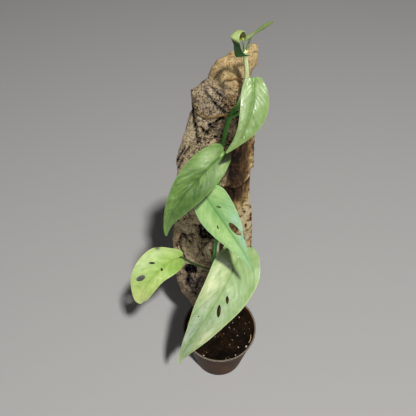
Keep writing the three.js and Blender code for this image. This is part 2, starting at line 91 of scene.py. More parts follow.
def along_line(pairs: Pairs, at: float) -> float:
    """Reads straight lines through (place, value) pairs at one place."""
    if at <= pairs[0][0]:
        return pairs[0][1]
    for (x0, y0), (x1, y1) in zip(pairs, pairs[1:]):
        if at <= x1:
            return lerp(y0, y1, (at - x0) / (x1 - x0))
    return pairs[-1][1]


def hermite(start: Any, leave: Any, end: Any, arrive: Any, s: float) -> Any:
    """A number or point at share s of a smooth curve with these ends and slopes."""
    return (
        start * (2 * s**3 - 3 * s**2 + 1)
        + leave * (s**3 - 2 * s**2 + s)
        + end * (3 * s**2 - 2 * s**3)
        + arrive * (s**3 - s**2)
    )


def oval_off(x: float, y: float, at: Sequence[float], reach: Sequence[float]) -> float:
    """How many half-axes of an oval a place is from the oval's middle."""
    return math.hypot((x - at[0]) / reach[0], (y - at[1]) / reach[1])


def crowd_ends(share: float, pull: float) -> float:
    """Moves evenly spaced shares from 0 to 1 closer together at both ends, by a pull from 0 to 1."""
    return lerp(share, 0.5 - 0.5 * math.cos(math.pi * share), pull)


def along_curve(pairs: Pairs, at: float) -> float:
    """Reads a smooth curve through (place, value) pairs at one place."""
    last = len(pairs) - 1
    following = max(1, next((i for i, (place, _) in enumerate(pairs) if place >= at), last))

    def slope(i: int) -> float:
        """Slope of the curve at pair i."""
        before, after = pairs[max(i - 1, 0)], pairs[min(i + 1, last)]
        return (after[1] - before[1]) / (after[0] - before[0])

    (x0, y0), (x1, y1) = pairs[following - 1], pairs[following]
    span = x1 - x0
    return hermite(y0, span * slope(following - 1), y1, span * slope(following), (at - x0) / span)


def segment_distance(point: Sequence[float], start: Sequence[float], end: Sequence[float]) -> float:
    """Distance in the plane from a point to a straight line's stretch."""
    dx, dy = end[0] - start[0], end[1] - start[1]
    share = clamp(((point[0] - start[0]) * dx + (point[1] - start[1]) * dy) / (dx * dx + dy * dy))
    return math.hypot(point[0] - start[0] - share * dx, point[1] - start[1] - share * dy)


def spline(points: Sequence[Sequence[float]], step: float) -> list[Vector]:
    """Runs a smooth curve through points.

    Args:
        points: The points, in millimetres.
        step: Distance between the returned points, in millimetres.

    Returns:
        Evenly spaced points on the curve.
    """
    knots = [Vector(p) for p in points]
    ends = [knots[0] * 2 - knots[1], *knots, knots[-1] * 2 - knots[-2]]
    dense: list[Vector] = []
    for p0, p1, p2, p3 in zip(ends, ends[1:], ends[2:], ends[3:]):
        gaps = [max((b - a).length ** 0.5, 1e-4) for a, b in ((p0, p1), (p1, p2), (p2, p3))]
        leave = (p1 - p0) / gaps[0] - (p2 - p0) / (gaps[0] + gaps[1]) + (p2 - p1) / gaps[1]
        arrive = (p2 - p1) / gaps[1] - (p3 - p1) / (gaps[1] + gaps[2]) + (p3 - p2) / gaps[2]
        leave, arrive = leave * gaps[1], arrive * gaps[1]
        dense += [hermite(p1, leave, p2, arrive, i / CURVE_PARTS) for i in range(CURVE_PARTS)]
    dense.append(knots[-1])
    lengths = [0.0]
    for a, b in zip(dense, dense[1:]):
        lengths.append(lengths[-1] + (b - a).length)
    count = max(2, round(lengths[-1] / step))
    even, i = [], 0
    for n in range(count + 1):
        target = lengths[-1] * n / count
        while i < len(lengths) - 2 and lengths[i + 1] < target:
            i += 1
        share = (target - lengths[i]) / max(lengths[i + 1] - lengths[i], 1e-9)
        even.append(dense[i].lerp(dense[i + 1], share))
    return even


def linear(code: str) -> tuple[float, float, float, float]:
    """Turns an sRGB hex colour into linear red, green, blue and alpha."""
    parts = [int(code[i : i + 2], 16) / 255 for i in (1, 3, 5)]
    red, green, blue = (p / 12.92 if p <= 0.04045 else ((p + 0.055) / 1.055) ** 2.4 for p in parts)
    return red, green, blue, 1.0


class NodeTree:
    """The node tree of one new material."""

    def __init__(self, name: str) -> None:
        """Starts a material with this name."""
        self.material = bpy.data.materials.new(name)
        self.material.use_nodes = True
        self.nodes = self.material.node_tree.nodes
        self.links = self.material.node_tree.links
        self.place = self.add("TexCoord").outputs["Object"]

    def feed(self, node: bpy.types.Node, inputs: Inputs) -> None:
        """Sets a node's inputs.

        Args:
            node: The node that takes the inputs.
            inputs: Socket name or number to a value, a hex colour, or the socket or node that feeds it.
        """
        for socket, value in inputs.items():
            if isinstance(value, bpy.types.Node):
                value = next(output for output in value.outputs if output.enabled)
            if isinstance(value, bpy.types.NodeSocket):
                self.links.new(value, node.inputs[socket])
            else:
                node.inputs[socket].default_value = linear(value) if isinstance(value, str) else value

    def add(self, kind: str, inputs: Inputs | None = None, **settings: Any) -> bpy.types.Node:
        """Adds a shader node with its settings and links.

        Args:
            kind: Blender's name for the node, without the leading ShaderNode.
            inputs: The node's inputs, as feed takes them.
            settings: The node's own options; stops=((place, hex), ...) fills a colour ramp.

        Returns:
            The new node.
        """
        node = self.nodes.new("ShaderNode" + kind)
        stops = settings.pop("stops", ())
        for option, value in settings.items():
            setattr(node, option, value)
        for _ in stops[2:]:
            node.color_ramp.elements.new(1.0)
        for rank, (place, code) in enumerate(stops):
            element = node.color_ramp.elements[rank]
            element.position, element.color = place, linear(code)
        self.feed(node, inputs or {})
        return node

    def finish(self, inputs: Inputs) -> bpy.types.Material:
        """Feeds the shader itself and returns the material."""
        self.feed(self.nodes["Principled BSDF"], inputs)
        return self.material


def per_mm(size: float) -> float:
    """Scale of a pattern on Object coordinates whose features are this many millimetres across."""
    return 1.0 / (size * MM)


def span(value: Any, low: float, high: float, start: float = 0.0, end: float = 1.0) -> Inputs:
    """Inputs that map a value's range from low to high onto start to end."""
    return {"Value": value, "From Min": low, "From Max": high, "To Min": start, "To Max": end}


def grains(place: Any, size: float, detail: float, rough: float = 0.5, warp: float = 0.0) -> Inputs:
    """Inputs of a noise at a place whose features are this many millimetres across."""
    shape = {"Detail": detail, "Roughness": rough, "Distortion": warp}
    return {"Vector": place, "Scale": per_mm(size), **shape}


class Slot(Enum):
    """The record's material slots."""

    POT = "pot"
    SOIL = "soil"
    BARK = "bark"
    STEM = "stem"
    LEAF_PALE = "leaf_pale"
    LEAF_DARK = "leaf_dark"
    LEAF_LIME = "leaf_lime"
    LEAF_YOUNG = "leaf_young"
    ROOT = "root"
    SHEATH = "sheath"


class Layer(Enum):
    """Values that a mesh carries for its material."""

    PLACE = "place"
    VEIN = "vein"
    TONES = "tones"
    UNDER = "under"
    # Painted shade in the bark's pits, cracks and hollows and along the rolled leaf's seam; on the vine, also
    # its ring scars and cork
    SHADE_AND_SCAR = "hollow"
    ZONE = "zone"
    TINT = "tint"
    ALONG = "along"
    TURN = "turn"
    FACING = "facing"


def finish_piece(
    name: str, bm: bmesh.types.BMesh, material: bpy.types.Material, slot: Slot, *nodes: str
) -> bpy.types.Object:
    """Turns a mesh in millimetres into a piece of the plant.

    Args:
        name: The piece's name.
        bm: The mesh, which is freed.
        material: Its finish.
        slot: The record's slot that the finish stands for; it is not used.
        nodes: The frame's nodes that the piece stands for.

    Returns:
        The new object, riding on the plant's one body.
    """
    bmesh.ops.scale(bm, vec=(MM, MM, MM), verts=bm.verts)
    for face in bm.faces:
        face.smooth = True
    mesh = bpy.data.meshes.new(name)
    bm.to_mesh(mesh)
    bm.free()
    mesh.materials.append(material)
    piece = bpy.data.objects.new(name, mesh)
    bpy.context.scene.collection.objects.link(piece)
    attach(piece, "root")
    if nodes:
        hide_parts(*nodes)
    LOG.info("%s: %d faces", name, len(mesh.polygons))
    return piece


def carried_frames(path: Sequence[Vector]) -> list[tuple[Vector, Vector, Vector]]:
    """Two cross directions at each point of a path that turn with it without twisting.

    Args:
        path: Points along the path.

    Returns:
        For each point, the point and the two directions across the path.
    """
    frames = []
    across = None
    for i, point in enumerate(path):
        ahead = (path[min(i + 1, len(path) - 1)] - path[max(i - 1, 0)]).normalized()
        if across is None:
            across = Vector((0, -1, 0)) if abs(ahead.y) < 0.9 else Vector((0, 0, 1))
        across = (across - ahead * across.dot(ahead)).normalized()
        frames.append((point, across, ahead.cross(across)))
    return frames


def flat_grid(columns: int, rows: int) -> bmesh.types.BMesh:
    """A new flat mesh with this many faces each way, from -1 to 1."""
    bm = bmesh.new()
    bmesh.ops.create_grid(bm, x_segments=columns, y_segments=rows, size=1.0)
    return bm


def sweep(path: Sequence[Vector], radius: Callable[[float, float], float], sides: int) -> bmesh.types.BMesh:
    """Rolls a flat grid into a closed round tube along a path.

    Args:
        path: Evenly spaced points, in millimetres.
        radius: Gives the radius at a share of the path and an angle round it.
        sides: Faces round the tube.

    Returns:
        The closed tube, which carries its share of the path and the angle round it.
    """
    steps = len(path) - 1
    bm = flat_grid(steps, sides)
    along = bm.verts.layers.float.new(Layer.ALONG.value)
    round_it = bm.verts.layers.float.new(Layer.TURN.value)
    frames = carried_frames(path)
    for vert in bm.verts:
        row = round((vert.co.x + 1) / 2 * steps)
        turn = (vert.co.y + 1) * math.pi
        at, first, second = frames[row]
        reach = radius(row / steps, turn)
        vert[along], vert[round_it] = row / steps, turn
        vert.co = at + first * (reach * math.cos(turn)) + second * (reach * math.sin(turn))
    bmesh.ops.remove_doubles(bm, verts=bm.verts, dist=FINE_MERGE)
    bmesh.ops.holes_fill(bm, edges=bm.edges, sides=sides + 2)
    bmesh.ops.recalc_face_normals(bm, faces=bm.faces)
    return bm


def spun(section: Sequence[tuple[float, float]], steps: int) -> bmesh.types.BMesh:
    """Spins a section of (radius, height) points that starts and ends on the axis into a closed mesh."""
    bm = bmesh.new()
    verts = [bm.verts.new((radius, 0.0, z)) for radius, z in section]
    edges = [bm.edges.new(pair) for pair in zip(verts, verts[1:])]
    turn = {"cent": (0, 0, 0), "axis": (0, 0, 1), "angle": 2 * math.pi}
    bmesh.ops.spin(bm, geom=[*verts, *edges], steps=steps, use_merge=True, **turn)
    bmesh.ops.remove_doubles(bm, verts=bm.verts, dist=MERGE)
    return bm


def rounded(share: float, length: float, radius: float) -> float:
    """Factor that closes a tube's two ends like a thumb: 0.25 at the very end and 1 a radius away."""
    off = min(share, 1 - share) * length / radius
    return 1.0 if off >= 1 else max(0.25, math.sqrt(1 - (1 - off) ** 2))


# Finishes


@dataclass(frozen=True)
class PotPlastic:
    """Thin injection-moulded polypropylene, glossy brown, scuffed pale along its rim, and mottled with
    painted shade and painted light.
    """

    # The body and the lit colour are a shaded and a lit copy of the brown: painted shade and painted light,
    # mixed in random clouds.
    body: str = "#2e190b"
    painted_lit_brown: str = "#5a3410"
    scuff: str = "#9a8f80"
    rim_from: float = 88.2
    rim_to: float = 89.8
    cloud: float = 30.0
    scratch: float = 1.5

    def material(self) -> bpy.types.Material:
        """Builds the finish."""
        tree = NodeTree("brown_nursery_pot_plastic")
        clouds = tree.add("TexNoise", grains(tree.place, self.cloud, 3.0))
        body = tree.add("ValToRGB", {"Fac": clouds}, stops=((0.3, self.body), (0.75, self.painted_lit_brown)))
        scratches = tree.add("TexNoise", grains(tree.place, self.scratch, 4.0))
        height = tree.add("SeparateXYZ", {"Vector": tree.place}).outputs["Z"]
        rim = tree.add("MapRange", span(height, self.rim_from * MM, self.rim_to * MM), **SMOOTH)
        worn = tree.add("MapRange", span(scratches, 0.3, 0.6))
        pale = tree.add("Math", {0: rim, 1: worn}, operation="MULTIPLY")
        colour = tree.add("Mix", {"Factor": pale, "A": body, "B": self.scuff}, data_type="RGBA")
        rough = tree.add("MapRange", span(scratches, 0.0, 1.0, 0.34, 0.55))
        bump = tree.add("Bump", {"Height": scratches, "Strength": 0.08, "Distance": 0.1 * MM})
        gloss = {"IOR": 1.49, "Specular IOR Level": 0.06}
        return tree.finish({"Base Color": colour, "Roughness": rough, "Normal": bump, **gloss})


@dataclass(frozen=True)
class PottingMix:
    """Moist peat and fine bark: nearly black, crumbly and dull, with a few damp glints."""

    dark: str = "#0d0804"
    mid: str = "#21150a"
    light: str = "#432e18"
    crumb: float = 2.2
    patch: float = 16.0

    def material(self) -> bpy.types.Material:
        """Builds the finish."""
        tree = NodeTree("moist_potting_mix")
        crumbs = tree.add("TexNoise", grains(tree.place, self.crumb, 8.0, 0.7))
        patches = tree.add("TexNoise", grains(tree.place, self.patch, 2.0))
        mixed = tree.add("Math", {0: crumbs, 1: patches}, operation="MULTIPLY")
        stops = ((0.16, self.dark), (0.3, self.mid), (0.42, self.light))
        colour = tree.add("ValToRGB", {"Fac": mixed}, stops=stops)
        bump = tree.add("Bump", {"Height": crumbs, "Strength": 0.9, "Distance": 0.8 * MM})
        rough = tree.add("MapRange", span(crumbs, 0.0, 1.0, 0.95, 0.55))
        dull = {"Specular IOR Level": 0.18}
        return tree.finish({"Base Color": colour, "Roughness": rough, "Normal": bump, **dull})


@dataclass(frozen=True)
class Perlite:
    """Expanded volcanic glass: chalk-white popped grains, dull and finely pored."""

    white: str = "#d8d3c8"
    dust: str = "#8d8172"
    pore: float = 0.5

    def material(self) -> bpy.types.Material:
        """Builds the finish, with its pores drawn three times as coarse, so that they show."""
        tree = NodeTree("white_perlite_grain")
        pores = tree.add("TexNoise", grains(tree.place, self.pore * 3, 5.0))
        colour = tree.add("ValToRGB", {"Fac": pores}, stops=((0.35, self.dust), (0.55, self.white)))
        bump = tree.add("Bump", {"Height": pores, "Strength": 0.6, "Distance": 0.3 * MM})
        return tree.finish({"Base Color": colour, "Normal": bump, "Roughness": 0.9})


@dataclass(frozen=True)
class CorkBark:
    """Weathered cork-like bark: dry, pitted and matt, tan where it is rubbed, with purple-black specks and
    purple-black painted shade in its pits, cracks and hollows.
    """

    cream: str = "#decca6"
    tan: str = "#b59c77"
    brown: str = "#745d42"
    dark: str = "#2b2120"
    purple: str = "#554853"
    ochre: str = "#8e6522"
    strip_dark: str = "#231810"
    strip_light: str = "#5c422b"
    strip_tan: str = "#b3945f"
    crown_dark: str = "#94764d"
    crown_light: str = "#e6c98f"
    pit: str = "#100e14"
    # Dark olive moss, which beside the stem also paints the shadow of the stem and its root
    moss_and_stem_shade: str = "#2f3416"
    patch: float = 15.0
    grain: float = 2.6
    fleck: float = 4.5
    speck: float = 2.1
    fibre: float = 1.5

    def material(self) -> bpy.types.Material:
        """Builds the finish from the slab's own hollow value, which holds its painted shade, and its zone and
        tint values.
        """
        tree = NodeTree("weathered_cork_bark")
        hollow = tree.add("Attribute", attribute_name=Layer.SHADE_AND_SCAR.value).outputs["Fac"]
        zone = tree.add("Attribute", attribute_name=Layer.ZONE.value).outputs["Vector"]
        zones = tree.add("SeparateXYZ", {"Vector": zone}).outputs
        tint = tree.add("Attribute", attribute_name=Layer.TINT.value).outputs["Vector"]
        tints = tree.add("SeparateXYZ", {"Vector": tint}).outputs
        patches = tree.add("TexNoise", grains(tree.place, self.patch, 3.0, 0.55))
        grain = tree.add("TexNoise", grains(tree.place, self.grain, 7.0, 0.78, 0.6))
        mixed = tree.add("Mix", {"Factor": 0.7, "A": patches, "B": grain}, data_type="FLOAT")
        # The cream tint lifts the colour towards cream, so it also carries the painted light of the cream
        # patches
        lifted = tree.add("Math", {0: tints["Z"], 1: 0.09, 2: mixed}, operation="MULTIPLY_ADD")
        stops = ((0.41, self.dark), (0.455, self.brown), (0.5, self.tan), (0.57, self.cream))
        body = tree.add("ValToRGB", {"Fac": lifted}, stops=stops)
        flecks = tree.add("TexNoise", grains(tree.place, self.fleck, 4.0, 0.7, 0.8))
        stops = ((0.38, self.purple), (0.46, self.tan), (0.55, self.cream), (0.63, self.ochre))
        hues = tree.add("ValToRGB", {"Fac": flecks}, stops=stops)
        # The strip's wood is drawn out along the grain, and its fibres twice as coarse as real ones
        drawn = {"Vector": tree.place, "Scale": (1.0, 1.0, 0.22)}
        stretched = tree.add("Mapping", drawn, vector_type="POINT")
        fibres = tree.add("TexNoise", grains(stretched, self.fibre * 2, 5.0, 0.65))
        faint = tree.add("MapRange", span(fibres, 0.25, 0.75, 0.4, 0.62))
        streaks = tree.add("Math", {0: tints["Z"], 1: 0.23, 2: faint}, operation="MULTIPLY_ADD")
        stops = ((0.4, self.strip_dark), (0.52, self.strip_light), (0.64, self.strip_tan), (0.76, self.cream))
        strip = tree.add("ValToRGB", {"Fac": streaks}, stops=stops)
        stops = ((0.38, self.crown_dark), (0.62, self.crown_light))
        crown = tree.add("ValToRGB", {"Fac": lifted}, stops=stops)
        # Specks crowd where the bark is dark and thin out on the strip and the crown
        specks = tree.add("TexVoronoi", {"Vector": tree.place, "Scale": per_mm(self.speck)})
        speck = tree.add("MapRange", span(specks, 0.2, 0.42, 1.0, 0.0))
        crowd = tree.add("MapRange", span(lifted, 0.46, 0.62, 1.0, 0.45))
        plain = tree.add("Math", {0: zones["X"], 1: zones["Y"]}, operation="MAXIMUM")
        rough_share = tree.add("MapRange", span(plain, 0.0, 1.0, 1.0, 0.25))
        crowded = tree.add("Math", {0: crowd, 1: rough_share}, operation="MULTIPLY")
        spotted = tree.add("Math", {0: speck, 1: crowded}, operation="MULTIPLY")
        # The pit colour goes on the dark specks and on the painted shade in the pits, cracks and hollows
        dark = tree.add("Math", {0: hollow, 1: spotted}, operation="MAXIMUM")
        colour = body
        for share, tone in (
            (0.36, hues),
            (tints["X"], self.purple),
            (tints["Y"], self.ochre),
            (zones["X"], strip),
            (zones["Y"], crown),
            (zones["Z"], self.moss_and_stem_shade),
            (dark, self.pit),
        ):
            colour = tree.add("Mix", {"Factor": share, "A": colour, "B": tone}, data_type="RGBA")
        relief = tree.add("Math", {0: grain, 1: spotted}, operation="SUBTRACT")
        bump = tree.add("Bump", {"Height": relief, "Strength": 0.9, "Distance": 0.9 * MM})
        sheen = tree.add("MapRange", span(dark, 0.0, 1.0, 0.3, 0.0))
        dry = {"Specular IOR Level": sheen, "Roughness": 0.82}
        return tree.finish({"Base Color": colour, "Normal": bump, **dry})


@dataclass(frozen=True)
class VineSkin:
    """Living epidermis of a stem or petiole: smooth, satin and faintly ribbed along its length."""

    name: str
    low: str
    high: str
    scar_and_shade: str = "#7a6a3a"
    rib: float = 0.5

    def material(self) -> bpy.types.Material:
        """Builds the finish, from the low colour at the start of the piece to the high one at its end."""
        tree = NodeTree(self.name)
        along = tree.add("Attribute", attribute_name=Layer.ALONG.value).outputs["Fac"]
        hollow = tree.add("Attribute", attribute_name=Layer.SHADE_AND_SCAR.value).outputs["Fac"]
        body = tree.add("Mix", {"Factor": along, "A": self.low, "B": self.high}, data_type="RGBA")
        # The ribs run lengthwise and are drawn twice as coarse as real ones, so that they show
        drawn = {"Vector": tree.place, "Scale": (1.0, 1.0, 0.15)}
        stretched = tree.add("Mapping", drawn, vector_type="POINT")
        ribs = tree.add("TexNoise", grains(stretched, self.rib * 2, 3.0))
        tone = tree.add("MapRange", span(ribs, 0.3, 0.7, 0.75, 1.2))
        shaded = tree.add("VectorMath", {0: body, "Scale": tone}, operation="SCALE")
        # The hollow value mixes in the scar colour: on the vine the rings, the cork and the painted shade low
        # down, and on the rolled leaf the painted shade along its seam
        colour = tree.add("Mix", {"Factor": hollow, "A": shaded, "B": self.scar_and_shade}, data_type="RGBA")
        bump = tree.add("Bump", {"Height": ribs, "Strength": 0.35, "Distance": 0.15 * MM})
        satin = {"Roughness": 0.38, "IOR": 1.45, "Subsurface Weight": 0.08, "Subsurface Scale": 1.5 * MM}
        return tree.finish({"Base Color": colour, "Normal": bump, **satin})


@dataclass(frozen=True)
class LeafSkin:
    """Waxy upper skin of the leaf: a fine silvery glaze over green, in strips between its veins, with painted
    highlights, light and shade in some of its zones, its tip and its margin.
    """

    name: str
    green: str
    light: str
    silver_and_highlight: str
    # On leaf_4 and leaf_5 the tip colour is partly painted light on the tips that hang; on leaf_6 it is
    # painted shade on the half that hangs
    tip: str
    vein: str
    # The pale margin also paints the highlight that the leaves' edges catch
    margin_and_edge_highlight: str
    back: str = "#b3bf93"
    lime: str = "#cfe0a0"
    deep: str = "#5f8440"
    coat: float = 0.1
    smooth: float = 0.44
    dull: float = 0.6
    tip_from: float = 0.75
    tip_to: float = 1.0
    vein_depth: float = 0.22
    rib_depth: float = 0.6
    sheen: str = "#bcd0dc"
    mottle: float = 9.0
    net: float = 1.1

    def material(self) -> bpy.types.Material:
        """Builds the finish from the leaf's own place, vein, tones and under values."""
        tree = NodeTree(self.name)
        spot = tree.add("Attribute", attribute_name=Layer.PLACE.value).outputs["Vector"]
        spots = tree.add("SeparateXYZ", {"Vector": spot}).outputs
        phase = tree.add("Attribute", attribute_name=Layer.VEIN.value).outputs["Fac"]
        tone = tree.add("Attribute", attribute_name=Layer.TONES.value).outputs["Vector"]
        tones = tree.add("SeparateXYZ", {"Vector": tone}).outputs
        under = tree.add("Attribute", attribute_name=Layer.UNDER.value).outputs["Fac"]
        mottle = tree.add("TexNoise", grains(tree.place, self.mottle, 4.0, 0.55))
        strip_place = tree.add("CombineXYZ", {"X": phase, "Y": spots["Z"]})
        strips = tree.add("TexNoise", {"Vector": strip_place, "Scale": 1.3, "Detail": 4.0, "Roughness": 0.6})
        cloudy = tree.add("Mix", {"Factor": 0.6, "A": mottle, "B": strips}, data_type="FLOAT")
        body = tree.add("ValToRGB", {"Fac": cloudy}, stops=((0.39, self.green), (0.61, self.light)))
        towards_tip = tree.add("MapRange", span(spots["Y"], self.tip_from, self.tip_to), **SMOOTH)
        wave = tree.add("Math", {0: phase, 1: 0.5}, operation="PINGPONG")
        lateral = tree.add("MapRange", span(wave, 0.0, 0.07, self.vein_depth, 0.0), **SMOOTH)
        broken = tree.add("MapRange", span(mottle, 0.62, 0.42))
        faint = tree.add("Math", {0: lateral, 1: broken}, operation="MULTIPLY")
        off = tree.add("Math", {0: spots["X"]}, operation="ABSOLUTE")
        midrib = tree.add("MapRange", span(off, 0.2, 1.3, self.rib_depth, 0.0), **SMOOTH)
        thinner = tree.add("MapRange", span(spots["Y"], 0.3, 0.85, 1.0, 0.3))
        fading = tree.add("Math", {0: midrib, 1: thinner}, operation="MULTIPLY")
        veins = tree.add("Math", {0: faint, 1: fading}, operation="MAXIMUM")
        side = tree.add("Math", {0: spots["Z"]}, operation="ABSOLUTE")
        rim = tree.add("MapRange", span(side, 0.94, 1.0, 0.0, 0.7))
        colour = body
        # Besides the leaf's own colours, some of these are painted light and shade: the tip colour on hanging
        # tips, highlights in the silver zones, light in the lime zones, shade in the deep zones, and the
        # edge's highlight in the pale margin
        for share, code in (
            (towards_tip, self.tip),
            (tones["Z"], self.deep),
            (tones["Y"], self.lime),
            (tones["X"], self.silver_and_highlight),
            (veins, self.vein),
            (rim, self.margin_and_edge_highlight),
            (under, self.back),
        ):
            colour = tree.add("Mix", {"Factor": share, "A": colour, "B": code}, data_type="RGBA")
        netting = {"Vector": tree.place, "Scale": per_mm(self.net)}
        net = tree.add("TexVoronoi", netting, feature="DISTANCE_TO_EDGE")
        fine = tree.add("Math", {0: net, 1: mottle}, operation="ADD")
        bump = tree.add("Bump", {"Height": fine, "Strength": 0.25, "Distance": 0.25 * MM})
        rough = tree.add("MapRange", span(mottle, 0.3, 0.7, self.smooth, self.dull))
        wax = {"IOR": 1.45, "Coat Weight": self.coat, "Coat Roughness": 0.2}
        bloom = {"Sheen Weight": 0.08, "Sheen Roughness": 0.4, "Sheen Tint": self.sheen}
        return tree.finish({"Base Color": colour, "Normal": bump, "Roughness": rough, **wax, **bloom})


@dataclass(frozen=True)
class DryFibre:
    """Dead plant fibre, such as an aerial root's bark or a dried sheath: dull and streaked."""

    name: str
    dark: str
    light: str
    streak: float = 0.8

    def material(self) -> bpy.types.Material:
        """Builds the finish, with its streaks drawn twice as coarse, so that they show."""
        tree = NodeTree(self.name)
        streaks = tree.add("TexNoise", grains(tree.place, self.streak * 2, 5.0, 0.65))
        colour = tree.add("ValToRGB", {"Fac": streaks}, stops=((0.35, self.dark), (0.62, self.light)))
        bump = tree.add("Bump", {"Height": streaks, "Strength": 0.5, "Distance": 0.3 * MM})
        return tree.finish({"Base Color": colour, "Normal": bump, "Roughness": 0.72})


# Pot


@dataclass
class NurseryPot:
    """Thin-walled round nursery pot with a small turned lip, a bevelled foot and drain holes."""

    height: float = 90
    rim_radius: float = 52.5
    base_radius: float = 36.5
    wall: float = 1.4
    floor: float = 1.8
    lip_height: float = 2.4
    lip_out: float = 0.9
    lip_round: float = 0.7
    foot_bevel: float = 1.5
    drains: int = 6
    drain_radius: float = 3
    drain_circle: float = 27
    steps: int = 168
    crease_degrees: float = 50
    finish: PotPlastic = field(default_factory=PotPlastic)

    def radius_at(self, z: float) -> float:
        """Radius of the outer wall at a height."""
        return lerp(self.base_radius, self.rim_radius - self.lip_out, z / self.height)

    def profile(self) -> list[tuple[float, float]]:
        """The wall's section as (radius, height): up the outside, over the lip and down the inside."""
        lip_foot = self.height - self.lip_height
        outer = [(self.radius_at(z), z) for z in (6.0, 20.0, 40.0, 60.0, 76.0, lip_foot - 0.4)]
        middle = (self.rim_radius - self.lip_round, self.height - self.lip_round)
        turned = [
            (middle[0] + self.lip_round * math.sin(a), middle[1] + self.lip_round * math.cos(a))
            for a in (math.pi / 2, math.pi / 3, math.pi / 6, 0.0)
        ]
        inner_top = self.radius_at(self.height) - self.wall
        inside = [(inner_top + 0.5, self.height), (inner_top, self.height - 0.5)]
        inside += [(self.radius_at(z) - self.wall, z) for z in (76.0, 50.0, 25.0, 4.5)]
        foot = [
            (self.base_radius - self.foot_bevel, 0.0),
            (self.base_radius - 0.5, 0.35),
            (self.radius_at(self.foot_bevel), self.foot_bevel),
        ]
        return [*foot, *outer, (self.rim_radius, lip_foot + self.lip_out), *turned, *inside]

    def build(self) -> None:
        """Spins the wall, closes it with a drilled floor and gives it its plastic."""
        inner_foot = (self.radius_at(self.floor) - self.wall - 2.5, self.floor)
        bm = spun([(0.0, 0.0), *self.profile(), inner_foot, (0.0, self.floor)], self.steps)
        bmesh.ops.recalc_face_normals(bm, faces=bm.faces)
        self.drill(bm)
        piece = finish_piece("pot_wall", bm, self.finish.material(), Slot.POT, "pot")
        crease_by_angle(piece, math.radians(self.crease_degrees))

    def drill(self, bm: bmesh.types.BMesh) -> None:
        """Cuts the round drain holes through the floor.

        Args:
            bm: The pot's closed mesh.
        """
        cutter = bmesh.new()
        size = {"radius1": self.drain_radius, "radius2": self.drain_radius, "depth": 4 * self.floor}
        for i in range(self.drains):
            turn = 2 * math.pi * i / self.drains
            middle = (self.drain_circle * math.cos(turn), self.drain_circle * math.sin(turn), self.floor / 2)
            place = Matrix.Translation(middle)
            bmesh.ops.create_cone(cutter, cap_ends=True, segments=20, matrix=place, **size)
        cut_away(bm, cutter)


def cut_away(bm: bmesh.types.BMesh, cutter: bmesh.types.BMesh) -> None:
    """Subtracts one closed mesh from another.

    Args:
        bm: The mesh that is cut, which keeps the result.
        cutter: The mesh that is taken away, which is freed.
    """
    body, tool = bpy.data.meshes.new("cut_body"), bpy.data.meshes.new("cut_tool")
    bm.to_mesh(body)
    cutter.to_mesh(tool)
    cutter.free()
    holders = [bpy.data.objects.new(mesh.name, mesh) for mesh in (body, tool)]
    for holder in holders:
        bpy.context.scene.collection.objects.link(holder)
    cut = holders[0].modifiers.new("cut", "BOOLEAN")
    cut.operation, cut.solver, cut.object = "DIFFERENCE", "EXACT", holders[1]
    graph = bpy.context.evaluated_depsgraph_get()
    result = bpy.data.meshes.new_from_object(holders[0].evaluated_get(graph))
    bm.clear()
    bm.from_mesh(result)
    for holder in holders:
        bpy.data.objects.remove(holder)
    for mesh in (body, tool, result):
        bpy.data.meshes.remove(mesh)


def crease_by_angle(piece: bpy.types.Object, angle: float) -> None:
    """Marks the edges of a piece that turn by more than an angle as sharp."""
    bm = bmesh.new()
    bm.from_mesh(piece.data)
    for edge in bm.edges:
        edge.smooth = len(edge.link_faces) != 2 or edge.calc_face_angle(0.0) < angle
    bm.to_mesh(piece.data)
    bm.free()


# Soil


